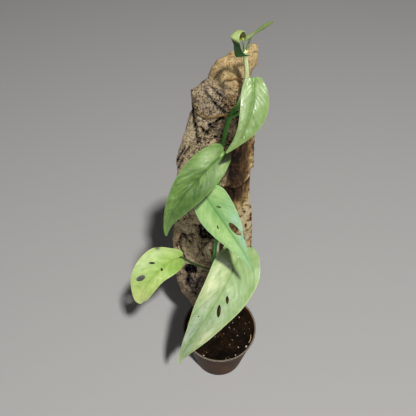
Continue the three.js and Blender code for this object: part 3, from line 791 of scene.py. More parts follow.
@dataclass
class Soil:
    """Potting mix that fills the pot to a little under its rim, with loose crumbs and perlite on top."""

    pot: NurseryPot
    level: float = 82
    bump: float = 0.8
    gap: float = 0.35
    rings: int = 96
    steps: int = 150
    crumbs: int = 900
    fine_share: float = 0.72
    crumb_ragged: float = 0.55
    grains: int = 46
    grain_ragged: float = 0.25
    seed: int = 7
    # Perlite grains that show in the opening of the pot: x, y and size
    seen_grains: tuple[Triple, ...] = (
        (27.5, 27.0, 2.2), (29.5, 18.5, 2.4), (14.5, 3.0, 2.0), (43.5, -0.5, 2.0), (37.5, -27.5, 4.0),
        (26.5, -28.0, 2.6), (22.0, -40.0, 2.6), (-22.5, -40.5, 3.0), (9.0, -49.0, 2.2),
    )  # fmt: skip
    finish: PottingMix = field(default_factory=PottingMix)

    def top(self, x: float, y: float) -> float:
        """Height of the soil's surface at one place."""
        swell = math.sin(0.35 * x + 0.2 * y) + math.sin(0.27 * y - 0.31 * x + 2)
        rough = noise.fractal(Vector((x, y, 3.0)) / 6.0, 0.8, 2.2, 5)
        return self.level + 0.5 * self.bump * swell + 1.1 * rough

    def build(self) -> None:
        """Spins the block of soil, roughens its top and scatters the crumbs and grains."""
        mix = self.finish.material()
        bottom = self.pot.floor + self.gap
        inside = [self.pot.radius_at(z) - self.pot.wall - self.gap for z in (bottom, self.level)]
        section = [(0.0, bottom), (inside[0], bottom)]
        section += [(inside[1] * i / self.rings, self.level) for i in range(self.rings, -1, -1)]
        bm = spun(section, self.steps)
        for vert in bm.verts:
            if vert.co.z > self.level - 1:
                vert.co.z = self.top(vert.co.x, vert.co.y)
        bmesh.ops.recalc_face_normals(bm, faces=bm.faces)
        finish_piece("potting_mix", bm, mix, Slot.SOIL, "soil")
        self.scatter(mix)

    def scatter(self, mix: bpy.types.Material) -> None:
        """Lays the loose crumbs and the perlite grains on the soil.

        Args:
            mix: The soil's material, which the crumbs share.
        """
        draw = random.Random(self.seed)
        reach = self.pot.radius_at(self.level) - self.pot.wall - 1.5

        def anywhere() -> tuple[float, float]:
            """An even chance of every place on the soil."""
            off, turn = reach * math.sqrt(draw.random()), draw.uniform(0, 2 * math.pi)
            return off * math.cos(turn), off * math.sin(turn)

        crumbs, perlite = bmesh.new(), bmesh.new()
        for _ in range(self.crumbs):
            at = anywhere()
            size = draw.uniform(0.5, 1.0) if draw.random() < self.fine_share else draw.uniform(1.1, 2.3)
            self.drop(crumbs, draw, at, size, self.crumb_ragged)
        for _ in range(self.grains):
            at = anywhere()
            self.drop(perlite, draw, at, draw.uniform(0.45, 0.9), self.grain_ragged)
        for x, y, size in self.seen_grains:
            shrink = min(1.0, (reach - 0.5) / math.hypot(x, y))
            self.drop(perlite, draw, (x * shrink, y * shrink), size / 2, self.grain_ragged)
        finish_piece("soil_crumbs", crumbs, mix, Slot.SOIL)
        finish_piece("perlite_grains", perlite, Perlite().material(), Slot.SOIL)

    def drop(
        self, bm: bmesh.types.BMesh, draw: random.Random, at: tuple[float, float], size: float, ragged: float
    ) -> None:
        """Adds one irregular grain to a mesh.

        Args:
            bm: The mesh that holds the grains.
            draw: The seeded source of chance.
            at: Its (x, y) place.
            size: Its radius.
            ragged: How far its corners stray, as a share of the radius.
        """
        spin = draw.uniform(0, math.pi)
        turned = Matrix.Rotation(spin, 4, Vector((draw.random(), draw.random(), 1)).normalized())
        place = Matrix.Translation((*at, self.top(*at) + 0.25 * size)) @ turned
        place = place @ Matrix.Diagonal((1, draw.uniform(0.6, 1), draw.uniform(0.5, 0.9), 1))
        made = bmesh.ops.create_icosphere(bm, subdivisions=1, radius=size, matrix=place)["verts"]
        for vert in made:
            stray = Vector([draw.uniform(-1, 1) for _ in range(3)])
            vert.co += stray * (ragged * size * 0.6)


# Bark


@dataclass(frozen=True)
class Furrow:
    """A long cut in the slab's front, from one (x, z) to another."""

    start: tuple[float, float]
    end: tuple[float, float]
    width: float
    depth: float


@dataclass(frozen=True)
class Hollow:
    """A larger hollow in the slab's front round one (x, z); a negative depth is a raised flake."""

    at: tuple[float, float]
    size: tuple[float, float]
    depth: float


@dataclass(frozen=True)
class Patch:
    """A stained or bleached patch of the slab's front round one (x, z), or a patch of painted light."""

    at: tuple[float, float]
    reach: tuple[float, float]
    strength: float


@dataclass
class BarkSlab:
    """The standing slab of cork-like bark that the vine climbs."""

    front: float = 19.5
    back: float = 36.5
    top_back: float = 34.5
    edge: float = 28
    top_edge: float = 32.5
    crown: float = 3
    crown_from: float = 484
    crown_to: float = 500
    # The front is plain where it stands in the soil
    calm_from: float = 92
    calm_to: float = 112
    lean_from: float = 485
    lean_slope: float = 0.29
    top_from: float = 470
    top_to: float = 500
    foot: float = 46
    head: float = 525
    thin: float = 1.5
    columns_front: int = 146
    columns_back: int = 36
    rows: int = 500
    left: Pairs = (
        (46, -26), (84, -33), (106, -40), (119, -44), (139, -53), (171, -58.5), (264, -59.5), (283, -57),
        (381, -48), (398, -48.5), (416, -44), (435, -38.5), (449, -35.5), (463, -31), (482, -31.5),
        (484.5, -27), (490, -21.5), (493, -17), (498, -15.5), (506, -12), (510, -9.5), (512, -7),
        (512.6, -4.3), (514.8, -1.5), (518.5, 1.5), (519.5, 5), (520, 16), (524, 17), (525, 18.6),
    )  # fmt: skip
    right: Pairs = (
        (46, 26), (84, 32), (95, 36), (110, 40), (248, 37), (276, 35.5), (312, 33), (327, 31.5), (333, 29),
        (363, 27.5), (385, 27), (388, 30), (398, 29.5), (428, 28), (493, 19.5), (498, 20.5), (503, 22.5),
        (506, 25), (522.5, 24.7), (524.2, 24.2), (525, 23),
    )  # fmt: skip
    strip: Pairs = ((110, -4), (273, -9), (345, -6), (374, 0), (392, 0.5), (420, 4), (470, 22))
    strip_depth: float = 3.5
    strip_soft: float = 5
    ledge_at: tuple[float, float] = (11, 359)
    ledge_half: float = 14
    ledge_rise: float = 12
    ledge_depth: float = 3
    ledge_fade: float = 70
    furrows: tuple[Furrow, ...] = (
        Furrow((-31, 468), (-26, 428), 1.8, 2.2), Furrow((-12, 475), (-1, 464), 1.6, 2.0),
        Furrow((-4, 459), (-19, 438), 1.8, 2.2), Furrow((-15, 449.5), (-2, 458), 1.3, 1.8),
        Furrow((-16.5, 492), (-4.5, 482), 0.8, 1.2), Furrow((-20, 486.5), (-13, 479), 0.8, 1.2),
        Furrow((-47.3, 399.5), (-39, 418), 1.0, 1.6), Furrow((-40, 410), (-34, 421), 0.9, 1.4),
        Furrow((-47, 388), (-41, 405), 1.0, 1.6), Furrow((-23, 446.5), (-16.5, 437), 1.5, 1.8),
        Furrow((-33, 301), (-20, 292), 2.2, 2.6), Furrow((-46, 281), (-54, 254), 3.0, 3.2),
        Furrow((-43.5, 279.5), (-37, 265), 1.6, 2.0), Furrow((-51.5, 259), (-45, 229), 1.6, 2.0),
        Furrow((-29, 262), (-22, 240), 1.2, 1.6), Furrow((-14, 251), (-8, 236), 1.6, 2.0),
        Furrow((-24, 206), (-14, 204), 1.3, 1.8), Furrow((-41, 198), (-44, 166), 3.2, 4.5),
        Furrow((-26, 190), (-33, 160), 1.2, 1.6),
    )  # fmt: skip
    hollows: tuple[Hollow, ...] = (
        Hollow((-17, 286), (10, 15), 7), Hollow((-38, 206), (7.5, 10.5), 7),
        Hollow((12, 453), (4.5, 13), 4), Hollow((-12, 436), (6, 9), 2.2), Hollow((-36, 330), (7, 12), 2),
        Hollow((-20, 396), (6, 9), 2), Hollow((-52.5, 273), (4.5, 11), -2),
    )  # fmt: skip
    purple_patches: tuple[Patch, ...] = (
        Patch((-4, 483), (5, 11), 0.5), Patch((-11, 476), (6, 8), 0.5), Patch((-17, 488), (5, 6), 0.35),
        Patch((1, 503), (2, 4), 0.3), Patch((-32, 462), (5, 16), 0.35), Patch((17, 397), (3.2, 34), 0.95),
        Patch((-38, 330), (14, 30), 0.3), Patch((-30, 170), (14, 30), 0.45),
        Patch((-42, 170), (18, 40), 0.7), Patch((-42, 405), (7, 22), 0.3),
        Patch((-24, 270), (12, 22), 0.25), Patch((-14, 470), (16, 22), 0.35),
    )  # fmt: skip
    ochre_patches: tuple[Patch, ...] = (
        Patch((4, 482), (6, 9), 0.6), Patch((11, 493), (5, 6), 0.4), Patch((5, 470), (5, 8), 0.5),
        Patch((1, 505), (5, 5), 0.5), Patch((-34, 460), (3, 9), 0.6), Patch((-53, 271), (6, 10), 0.5),
        Patch((8, 372), (8, 8), 0.3),
    )  # fmt: skip
    # Cream patches, darker ones where the strength is below nothing; the one round (-42, 338) is painted
    # light that brightens the lower left, where leaf_2 casts its shadow.
    cream_and_painted_light_patches: tuple[Patch, ...] = (
        Patch((-29, 443), (9, 14), 1.6), Patch((-46, 385), (12, 34), 1.2),
        Patch((-38, 428), (8, 10), 0.7), Patch((-42, 338), (24, 36), 3.2),
        Patch((-34, 232), (26, 26), 1.0), Patch((-20, 466), (7, 10), 1.0), Patch((-54, 268), (5, 8), 0.8),
        Patch((27, 395), (4, 42), 0.8), Patch((11, 400), (8, 40), -0.8), Patch((11, 346), (10, 9), -0.7),
        Patch((26, 280), (9, 60), 2.4), Patch((14, 322), (8, 14), 0.6), Patch((-28, 172), (22, 34), -0.6),
        Patch((-30, 300), (14, 26), 1.0), Patch((20, 518), (6, 9), 1.6),
    )  # fmt: skip
    # Middle and reach of the crowded pits in the upper middle
    dense_at: tuple[float, float] = (-9, 440)
    dense_reach: tuple[float, float] = (12, 18)
    # Dark olive moss beside the stem, which also paints the shadow that the stem and its root cast there
    moss_and_stem_shade_at: tuple[float, float] = (11, 484)
    moss_and_stem_shade_reach: float = 3.5
    # Small pits: width and height, lean of their rows, and depths of pits, dots and fine cracks
    pit_size: tuple[float, float] = (4.2, 6.0)
    dot_size: tuple[float, float] = (2.3, 3.2)
    pit_lean: float = 0.35
    pit_depth: float = 1.9
    dot_depth: float = 1.2
    hairline_depth: float = 1.0
    finish: CorkBark = field(default_factory=CorkBark)

    def tints(self, x: float, z: float) -> Vector:
        """Strength of the purple, ochre and cream stains at one place of the front; the cream also holds
        painted light.
        """
        total = Vector((0.0, 0.0, 0.0))
        for i, patches in enumerate((self.purple_patches, self.ochre_patches, self.cream_and_painted_light_patches)):
            for patch in patches:
                total[i] += patch.strength * bell(oval_off(x, z, patch.at, patch.reach), 1.0)
        stray = 0.6 + 0.9 * noise.fractal(Vector((x / 5, 70.0, z / 7)), 0.8, 2.1, 4)
        return Vector([clamp(part * stray, -1.0) for part in total])

    def strip_share(self, x: float, z: float) -> float:
        """1 on the set-back strip on the right, 0 on the rough left part."""
        return smoothstep(0, self.strip_soft, x - along_line(self.strip, z))

    def scar_height(self, x: float) -> float:
        """Height of the curved ledge on the strip at one x."""
        return self.ledge_at[1] + self.ledge_rise * ((x - self.ledge_at[0]) / self.ledge_half) ** 2

    def ledge_share(self, x: float, z: float) -> float:
        """1 just under the curved ledge on the strip, fading downwards."""
        scar_and_shade = self.scar_height(x)
        below = smoothstep(0, 3, scar_and_shade - z) * (1 - smoothstep(0, self.ledge_fade, scar_and_shade - z))
        return below * smoothstep(-4, 3, x - along_line(self.strip, z))

    def large_relief(self, x: float, z: float) -> float:
        """Depth of the main forms into the slab."""
        cuts = sum(f.depth * bell(segment_distance((x, z), f.start, f.end), f.width) for f in self.furrows)
        pits = sum(
            h.depth * math.exp(-(((x - h.at[0]) / h.size[0]) ** 4) - ((z - h.at[1]) / h.size[1]) ** 4)
            for h in self.hollows
        )
        waves = 0.35 * math.sin(0.13 * x + 0.06 * z) + 0.25 * math.sin(0.21 * x - 0.11 * z + 1)
        strip = self.strip_depth * self.strip_share(x, z) + self.ledge_depth * self.ledge_share(x, z)
        return strip + cuts + pits + waves

    def crack_share(self, x: float, z: float) -> float:
        """How deep in a crack one place is, from 0 to 1, with frayed sides."""
        frayed = 0.8 * noise.fractal(Vector((x / 3.5, 80.0, z / 3.5)), 0.8, 2.1, 3)
        at = (x + frayed, z + 0.6 * frayed)
        return max(bell(segment_distance(at, f.start, f.end), f.width) for f in self.furrows)

    def fine_relief(self, x: float, z: float) -> tuple[float, float]:
        """Grain, pits and cracks of the front.

        Args:
            x: Place across the slab.
            z: Height.

        Returns:
            The depth into the slab, and how much painted shade the place gets, from 0 to 1.
        """
        strip = self.strip_share(x, z)
        smooth = max(0.8 * strip, smoothstep(self.crown_from, self.crown_to, z + 0.3 * x))
        rough = 1 - 0.85 * smooth
        lump = 0.6 * noise.fractal(Vector((x / 7, 1.0, z / 10)), 0.7, 2.1, 6)
        dense = bell(oval_off(x, z, self.dense_at, self.dense_reach), 1)
        crowd = clamp(smoothstep(-0.2, 0.35, noise.noise(Vector((x / 15, 7.0, z / 20)))) + 0.2 + dense)
        slant = x - self.pit_lean * z
        near = noise.voronoi(Vector((slant / self.pit_size[0], 2.0, z / self.pit_size[1])))[0][0]
        small = noise.voronoi(Vector((slant / self.dot_size[0], 5.0, z / self.dot_size[1])))[0][0]
        pit = 1 - smoothstep(0.16, 0.34, near)
        dot = 1 - smoothstep(0.18, 0.33, small)
        crack = 1 - smoothstep(0.01, 0.07, abs(noise.noise(Vector((x / 7 + 0.35 * lump, 4.0, z / 15)))))
        fibre = noise.fractal(Vector((x / 1.4, 9.0, z / 16)), 0.8, 2.0, 3)
        deep = max(self.pit_depth * pit, self.dot_depth * dot, self.hairline_depth * crack) * crowd
        depth = rough * (lump + deep) + 0.6 * strip * fibre
        # Painted shade in the pits, dots and fine cracks, and over the lumps' dips
        painted_shade = rough * crowd * max(pit, 0.9 * dot, 0.85 * crack) + 0.2 * max(0.0, lump) * rough
        # Painted shadow under the curved ledge on the strip, where a shallow groove is also cut
        scar_and_shade = bell(self.scar_height(x) - 0.8 - z, 1.5) * strip
        return depth + 0.8 * scar_and_shade, clamp(painted_shade + scar_and_shade)

    def skin(self, side: float, z: float, on_front: bool) -> tuple[Vector, float]:
        """A point of the slab's skin and how much painted shade it gets.

        Args:
            side: 0 on the left edge and 1 on the right edge.
            z: Height.
            on_front: Whether it is on the front or the back.

        Returns:
            The point, and its painted shade, from 0 on open bark to 1 in a pit.
        """
        ragged = 0.8 * noise.fractal(Vector((z / 5, 20.0, 0.0)), 0.8, 2.1, 4)
        other = 0.8 * noise.fractal(Vector((z / 5, 40.0, 0.0)), 0.8, 2.1, 4)
        x = lerp(along_line(self.left, z) + ragged, along_line(self.right, z) + other, side)
        off = abs(2 * side - 1)
        top = smoothstep(self.top_from, self.top_to, z)
        edge = lerp(self.edge, self.top_edge, top)
        back = lerp(self.back, self.top_back, top) - self.crown * off**2
        calm = smoothstep(self.calm_from, self.calm_to, z)
        if on_front:
            fine, painted_shade = self.fine_relief(x, z)
            lean = self.lean_slope * max(0.0, z - self.lean_from)
            large = self.large_relief(x, z)
            y = self.front + self.crown * off**2 + lean + (large + fine) * calm
            y = min(y, back - self.thin)
            sunk = large - self.strip_depth * self.strip_share(x, z)
            broken = 1.0 + 0.7 * noise.fractal(Vector((x / 3, 30.0, z / 5)), 0.7, 2.1, 4)
            # Painted shade in the deep hollows and along the furrows' cracks
            dark = max(smoothstep(1.6, 4.2, sunk), self.crack_share(x, z))
            painted_shade = clamp(painted_shade * calm + clamp(broken) * dark)
        else:
            lump = noise.fractal(Vector((x / 10, 60.0, z / 16)), 0.8, 2.1, 4)
            # On the back, painted shade darkens the dips where the lump noise is positive
            y, painted_shade = back - 0.9 * abs(lump) - 0.2, clamp(0.8 * lump)
        roll = 1 - math.sqrt(max(0.0, 1 - off**5))
        return Vector((x, lerp(y, edge, roll), z)), painted_shade

    def build(self) -> None:
        """Rolls a grid round the slab's outline and closes its ends."""
        columns = self.columns_front + self.columns_back
        bm = flat_grid(columns, self.rows)
        hollow = bm.verts.layers.float.new(Layer.SHADE_AND_SCAR.value)
        zone = bm.verts.layers.float_vector.new(Layer.ZONE.value)
        tint = bm.verts.layers.float_vector.new(Layer.TINT.value)
        for vert in bm.verts:
            column = round((vert.co.x + 1) / 2 * columns) % columns
            share = (vert.co.y + 1) / 2
            z = lerp(self.foot, self.head, share)
            on_front = column <= self.columns_front
            if on_front:
                side = crowd_ends(column / self.columns_front, 0.5)
            else:
                side = 1 - crowd_ends((column - self.columns_front) / self.columns_back, 0.5)
            vert.co, vert[hollow] = self.skin(side, z, on_front)
            x = vert.co.x
            crown = smoothstep(self.crown_from, self.crown_to, z + 0.3 * x)
            # Moss beside the stem, also painted shadow of the stem and its root
            moss_and_stem_shade = bell(math.hypot(x - self.moss_and_stem_shade_at[0], (z - self.moss_and_stem_shade_at[1]) / 1.4), self.moss_and_stem_shade_reach)
            moss_and_stem_shade *= smoothstep(-0.3, 0.2, noise.noise(vert.co / 3))
            strip = self.strip_share(x, z) if on_front else 0.0
            vert[zone] = (strip, 0.85 * crown, 0.25 * moss_and_stem_shade)
            vert[tint] = self.tints(x, z) if on_front else (0.0, 0.0, 0.3)
        bmesh.ops.remove_doubles(bm, verts=bm.verts, dist=MERGE)
        bmesh.ops.holes_fill(bm, edges=bm.edges, sides=columns + 2)
        bmesh.ops.recalc_face_normals(bm, faces=bm.faces)
        finish_piece("cork_bark", bm, self.finish.material(), Slot.BARK, "bark_slab")

    def front_near(self, x: float, z: float) -> float:
        """The foremost y of the slab's main form round one place."""
        reach = (-3, 0, 3)
        return min(self.plain_front(x + dx, z + dz) for dx in reach for dz in reach)

    def plain_front(self, x: float, z: float) -> float:
        """y of the slab's front without its fine grain."""
        left, right = along_line(self.left, z), along_line(self.right, z)
        off = abs(2 * clamp((x - left) / (right - left)) - 1)
        lean = self.lean_slope * max(0.0, z - self.lean_from)
        return self.front + self.crown * off**2 + lean + self.large_relief(x, z)


# Vine


@dataclass
class Vine:
    """The main stem, thicker at its nodes, held against the bark by aerial roots."""

    bark: BarkSlab
    radius: float = 1.9
    swell: float = 0.5
    swell_half: float = 4
    ring_above: float = 1.5
    ring_half: float = 0.5
    ring_depth: float = 0.16
    nodes: tuple[float, ...] = (190, 217, 335, 403, 465, 505, 535)
    route: tuple[Triple, ...] = (
        (0, 12, 58), (-1, 12.5, 90), (-6, 14, 140), (-9, 14.8, 190), (-10, 14.8, 217), (-9.2, 14.8, 245),
        (-7.2, 14.8, 283), (-6, 14.8, 335), (-5.5, 14.8, 400), (-2.7, 14.8, 433), (0.7, 14.8, 454),
        (3.3, 14.5, 465), (10.5, 13.5, 481), (14.9, 13, 506), (14.3, 13, 517), (12.9, 12, 527), (12, 9, 535),
    )  # fmt: skip
    step: float = 0.8
    sides: int = 26
    # Heights where the skin is brown and corky, which low down also paints the shade behind leaf_5, and where
    # it turns pale towards the tip, which also paints the highlight on the stem's top
    cork_and_shade_from: float = 225
    cork_and_shade_full: float = 190
    cork_middle: float = 318
    cork_half: float = 24
    pale_and_lit_from: float = 472
    pale_and_lit_full: float = 500
    # Its high colour is the pale young skin, whitened to paint the highlight on the stem's top too
    finish: VineSkin = VineSkin("green_vine_epidermis", "#45a324", "#eef6b6", scar_and_shade="#4c4526")

    def build(self) -> None:
        """Sweeps the stem and marks the rings at its nodes."""
        path = spline(self.route, self.step)
        steps = len(path) - 1
        length = steps * self.step

        def radius(share: float, turn: float) -> float:
            """Radius with swollen nodes and soft ribs."""
            z = path[round(share * steps)].z
            swell = sum(bell(z - node, self.swell_half) for node in self.nodes)
            ring = sum(bell(z - node - self.ring_above, self.ring_half) for node in self.nodes)
            ribs = 0.05 * math.cos(7 * turn + 0.02 * z)
            size = self.radius + self.swell * min(1.0, swell) - self.ring_depth * min(1.0, ring) + ribs
            return size * rounded(share, length, self.radius)

        bm = sweep(path, radius, self.sides)
        hollow = bm.verts.layers.float.new(Layer.SHADE_AND_SCAR.value)
        along = bm.verts.layers.float[Layer.ALONG.value]
        for vert in bm.verts:
            z = vert.co.z
            rings = 0.7 * min(1.0, sum(bell(z - node - self.ring_above, 0.9) for node in self.nodes))
            low = 1 - smoothstep(self.cork_and_shade_full, self.cork_and_shade_from, z)
            # Low down the brown cork also paints the shade behind leaf_5; round cork_middle it is a brown
            # band
            corky_and_shaded = 0.9 * max(low, bell(z - self.cork_middle, self.cork_half))
            vert[hollow] = max(rings, corky_and_shaded)
            # The pale top also paints the stem's highlight there
            vert[along] = smoothstep(self.pale_and_lit_from, self.pale_and_lit_full, z)
        finish_piece("vine_stem_skin", bm, self.finish.material(), Slot.STEM, "vine_stem")


@dataclass(frozen=True)
class RootPlan:
    """One aerial root: where it leaves the stem, and its (x, z) route over the bark."""

    node: str
    start: Triple
    route: tuple[tuple[float, float], ...]
    radius: float
    dark: str
    light: str


@dataclass
class AerialRoots:
    """The roots that cling to the bark."""

    bark: BarkSlab
    gap: float = 0.35
    wander: float = 0.35
    seed: int = 5
    step: float = 0.5
    sides: int = 14
    plans: tuple[RootPlan, ...] = (
        RootPlan(
            "aerial_root_1", (3.3, 14.5, 465), ((-3, 462.5), (-12, 460.5), (-18, 460), (-26.5, 466.5)), 0.75,
            "#5e4213", "#94702a",
        ),
        RootPlan(
            "aerial_root_2", (15.3, 13, 504), ((8, 500), (2.5, 499), (-3, 499)), 0.65, "#6d4a20", "#9c7340",
        ),
        RootPlan("aerial_root_3", (3.9, 14.4, 467), ((-1.5, 468.5), (-4.5, 472)), 0.55, "#2f2416", "#57442a"),
        RootPlan("aerial_root_4", (5.6, 14.2, 471), ((0.8, 476), (-5.3, 480)), 0.45, "#5f4820", "#8f7140"),
        RootPlan(
            "aerial_root_5", (-7.2, 14.8, 281), ((-12, 274.5), (-18, 266.5), (-24, 258), (-31, 239)), 1.0,
            "#46301c", "#7a5836",
        ),
    )  # fmt: skip

    def build(self) -> None:
        """Sweeps each root along the bark, thinning and wandering a little."""
        # The wander's noise starts at a place drawn by chance, unless it is seeded
        noise.seed_set(self.seed)
        for i, plan in enumerate(self.plans):
            points = [(x, self.bark.front_near(x, z) - plan.radius - self.gap, z) for x, z in plan.route]
            path = spline([plan.start, *points], self.step)
            steps = len(path) - 1
            for n, point in enumerate(path):
                stray = noise.noise_vector(Vector((n * self.step / 7, 3.0 * i, 1.0)))
                point += self.wander * Vector((stray.x, 0.3 * stray.y, stray.z)) * min(1.0, n / 10)

            size, length = plan.radius, steps * self.step

            def radius(share: float, turn: float, size: float = size, length: float = length) -> float:
                """Radius that thins to the tip with small knots."""
                knot = 0.14 * noise.noise(Vector((share * length / 1.6, size * 9, math.cos(turn))))
                return size * (lerp(1, 0.65, share) + knot) * rounded(share, length, size)

            bm = sweep(path, radius, self.sides)
            finish = DryFibre(f"root_bark_{i + 1}", plan.dark, plan.light)
            finish_piece(f"{plan.node}_bark", bm, finish.material(), Slot.ROOT, plan.node)


# Leaves


class Tone(Enum):
    """Zones of a blade's colour, in the order of the tones value's parts: silver, which also holds painted
    highlights, lime, which also holds painted light, and deep green, which also holds painted shade.
    """

    SILVER_AND_HIGHLIGHT = 0
    LIME_AND_PAINTED_LIGHT = 1
    DEEP_GREEN_AND_SHADE = 2


@dataclass(frozen=True)
class Glaze:
    """A silvery, yellowish or deep green zone of a blade round one (station, share of the half-width); some
    of them paint highlights, light and shade.
    """

    station: float
    share: float
    reach: tuple[float, float]
    strength: float
    tone: Tone = Tone.SILVER_AND_HIGHLIGHT


@dataclass(frozen=True)
class Crease:
    """A ridge, or with a negative height a groove, between two (station, share) places of a blade."""

    start: tuple[float, float]
    end: tuple[float, float]
    width: float
    height: float


@dataclass(frozen=True)
class Hole:
    """An oval hole in a blade, as in the real leaves."""

    station: float
    across: float
    long: float
    wide: float
    turn: float


STATIONS = (0, 0.1, 0.25, 0.42, 0.6, 0.78, 0.92)
LEAF_TIP = 0.7


@dataclass
class Leaf:
    """One leaf: a thin bent blade with sunken veins, a keel underneath, and its petiole."""

    node: str
    slot: Slot
    skin: LeafSkin
    stalk: VineSkin
    petiole: tuple[Triple, ...]
    midrib: tuple[Triple, Triple, Triple, Triple]
    face: Triple
    left: tuple[float, ...]
    right: tuple[float, ...]
    lobe: float
    fold: float
    dome: float
    wave: float
    holes: tuple[Hole, ...] = ()
    glazes: tuple[Glaze, ...] = ()
    creases: tuple[Crease, ...] = ()
    thick: float = 0.6
    petiole_radius: float = 1.45
    petiole_step: float = 0.7
    petiole_sides: int = 20
    keel: float = 1.2
    # Side veins: millimetres apart, how far they lag and bend per millimetre across, and how far they stray
    vein_gap: float = 7.0
    vein_lean: float = 0.85
    vein_bend: float = 0.02
    vein_stray: float = 0.25
    groove_depth: float = 0.5
    groove_half: float = 0.75
    dent_depth: float = 0.5
    dent_size: tuple[float, float] = (26, 20)
    keel_half: float = 1.3
    edge_thin: float = 0.45
    # Corners between these many hole radii from a hole's middle are drawn onto its oval
    rim_from: float = 0.2
    rim_to: float = 1.8
    quilt: float = 0.11
    rows: int = 180
    columns: int = 72
    seed: float = 0.0

    def __post_init__(self) -> None:
        """Works out what every point of the blade needs."""
        self.knots = [Vector(p) for p in self.midrib]
        rib = [self.rib_point(i / RIB_PARTS) for i in range(RIB_PARTS + 1)]
        self.length = sum((after - before).length for before, after in zip(rib, rib[1:]))
        self.width = max(*self.left, *self.right)
        self.outline = {
            -1: [*zip(STATIONS, self.left), (1, LEAF_TIP)],
            1: [*zip(STATIONS, self.right), (1, LEAF_TIP)],
        }

    def rib_point(self, t: float) -> Vector:
        """A point of the midrib."""
        a, b, c, d = self.knots
        return a * (1 - t) ** 3 + b * (3 * t * (1 - t) ** 2) + c * (3 * t * t * (1 - t)) + d * t**3

    def axes(self, station: float) -> tuple[Vector, Vector, Vector, Vector]:
        """The midrib's point, its direction, the upper face and the right side at a station."""
        held = clamp(station)
        a, b, c, d = self.knots
        along = (b - a) * (1 - held) ** 2 + (c - b) * (2 * held * (1 - held)) + (d - c) * held**2
        along.normalize()
        face = Vector(self.face).normalized()
        up = (face - along * face.dot(along)).normalized()
        return self.rib_point(held) + along * ((station - held) * self.length), along, up, up.cross(along)

    def half_width(self, station: float, side: int) -> float:
        """Half-width of the blade on one side at a station."""
        return max(0.05, along_curve(self.outline[side], station))

    def middle(self, station: float, across: float) -> tuple[Vector, Vector]:
        """A point of the blade's middle skin, and the direction that its upper face looks."""
        at, _, up, right = self.axes(station)
        valley = self.fold * abs(across) - self.dome * (across / self.width) ** 2
        shift = 1.0 if across > 0 else 2.5
        ripple = self.wave * math.sin(9 * station + shift) * (across / self.width) ** 2
        return at + right * across + up * (valley + ripple), up

    def vein_phase(self, station: float, across: float) -> float:
        """Counts the side veins from the base to one place: they leave the midrib and sweep to the tip."""
        swept = self.length * station - self.vein_lean * abs(across) - self.vein_bend * across * across
        stray = self.vein_stray * noise.noise(Vector((station * 7, across / 9, self.seed)))
        return swept / self.vein_gap + stray + VEINS_BEFORE

    def laid_flat(self, place: tuple[float, float]) -> tuple[float, float]:
        """Turns a (station, share) place into millimetres on a flat blade as wide as the widest one."""
        return place[0] * self.length, place[1] * self.width

    def texture(self, station: float, across: float, share: float) -> float:
        """Height of the upper skin's own relief: midrib groove, side veins, creases and soft dents."""
        fraction = abs((self.vein_phase(station, across) % 1.0) - 0.5) * 2
        fade = smoothstep(0.3, 2.5, abs(across)) * (1 - smoothstep(0.7, 1.0, share))
        uneven = clamp(0.7 + 1.2 * noise.noise(Vector((station * 9, across / 7, self.seed + 9))), 0.0, 1.6)
        quilted = self.quilt * uneven * fade * (1 - smoothstep(0.55, 1.0, fraction))
        groove = -self.groove_depth * (1 - 0.5 * station) * bell(across, self.groove_half)
        soft = Vector((station * self.length / self.dent_size[0], across / self.dent_size[1], self.seed + 5))
        dents = self.dent_depth * noise.fractal(soft, 0.9, 2.0, 3)
        place = self.laid_flat((station, math.copysign(share, across)))
        folds = 0.0
        for c in self.creases:
            off = segment_distance(place, self.laid_flat(c.start), self.laid_flat(c.end))
            folds += c.height * bell(off, c.width)
        return quilted + groove + dents * smoothstep(0.0, 3.0, abs(across)) + folds

    def build(self) -> None:
        """Bends the blade, cuts its holes, gives it its thickness and adds the petiole."""
        bm = flat_grid(self.rows, self.columns)
        self.refine_round_holes(bm)
        place = bm.verts.layers.float_vector.new(Layer.PLACE.value)
        vein = bm.verts.layers.float.new(Layer.VEIN.value)
        tones = bm.verts.layers.float_vector.new(Layer.TONES.value)
        under = bm.verts.layers.float.new(Layer.UNDER.value)
        for vert in bm.verts:
            station, across, share = self.spot(vert.co.x, vert.co.y)
            point, up = self.middle(station, across)
            vert.co = point + up * (self.thick / 2 + self.texture(station, across, abs(share)))
            vert[place] = (across, station, share)
            vert[vein] = self.vein_phase(station, across)
            vert[tones] = self.tones_at(station, share)
        self.punch(bm)
        top = list(bm.faces)
        made = bmesh.ops.extrude_face_region(bm, geom=top, use_keep_orig=True)["geom"]
        for vert in (v for v in made if isinstance(v, bmesh.types.BMVert)):
            across, station, share = vert[place]
            _, up = self.middle(station, across)
            held = clamp(station)
            rib = self.keel * (1 - 0.75 * held) * bell(across, self.keel_half * (1 - 0.5 * held))
            edge = lerp(1.0, self.edge_thin, smoothstep(0.8, 1.0, abs(share)))
            vert.co -= up * (self.thick * edge + rib)
            vert[under] = 1.0
        bmesh.ops.recalc_face_normals(bm, faces=bm.faces)
        finish_piece(f"{self.node}_blade", bm, self.skin.material(), self.slot, self.node)
        self.build_petiole()

    def spot(self, u: float, v: float) -> tuple[float, float, float]:
        """Turns a place on the flat grid into a station, a distance across and a share of the half-width."""
        flat = (u + 1) / 2
        station = crowd_ends(flat, 0.55)
        share = math.copysign(0.85 * abs(v) + 0.15 * abs(v) ** 2, v)
        across = share * self.half_width(station, -1 if v < 0 else 1)
        back = self.lobe / self.length * math.sin(math.pi * abs(share)) * (1 - station) ** 4
        return station - back, across, share

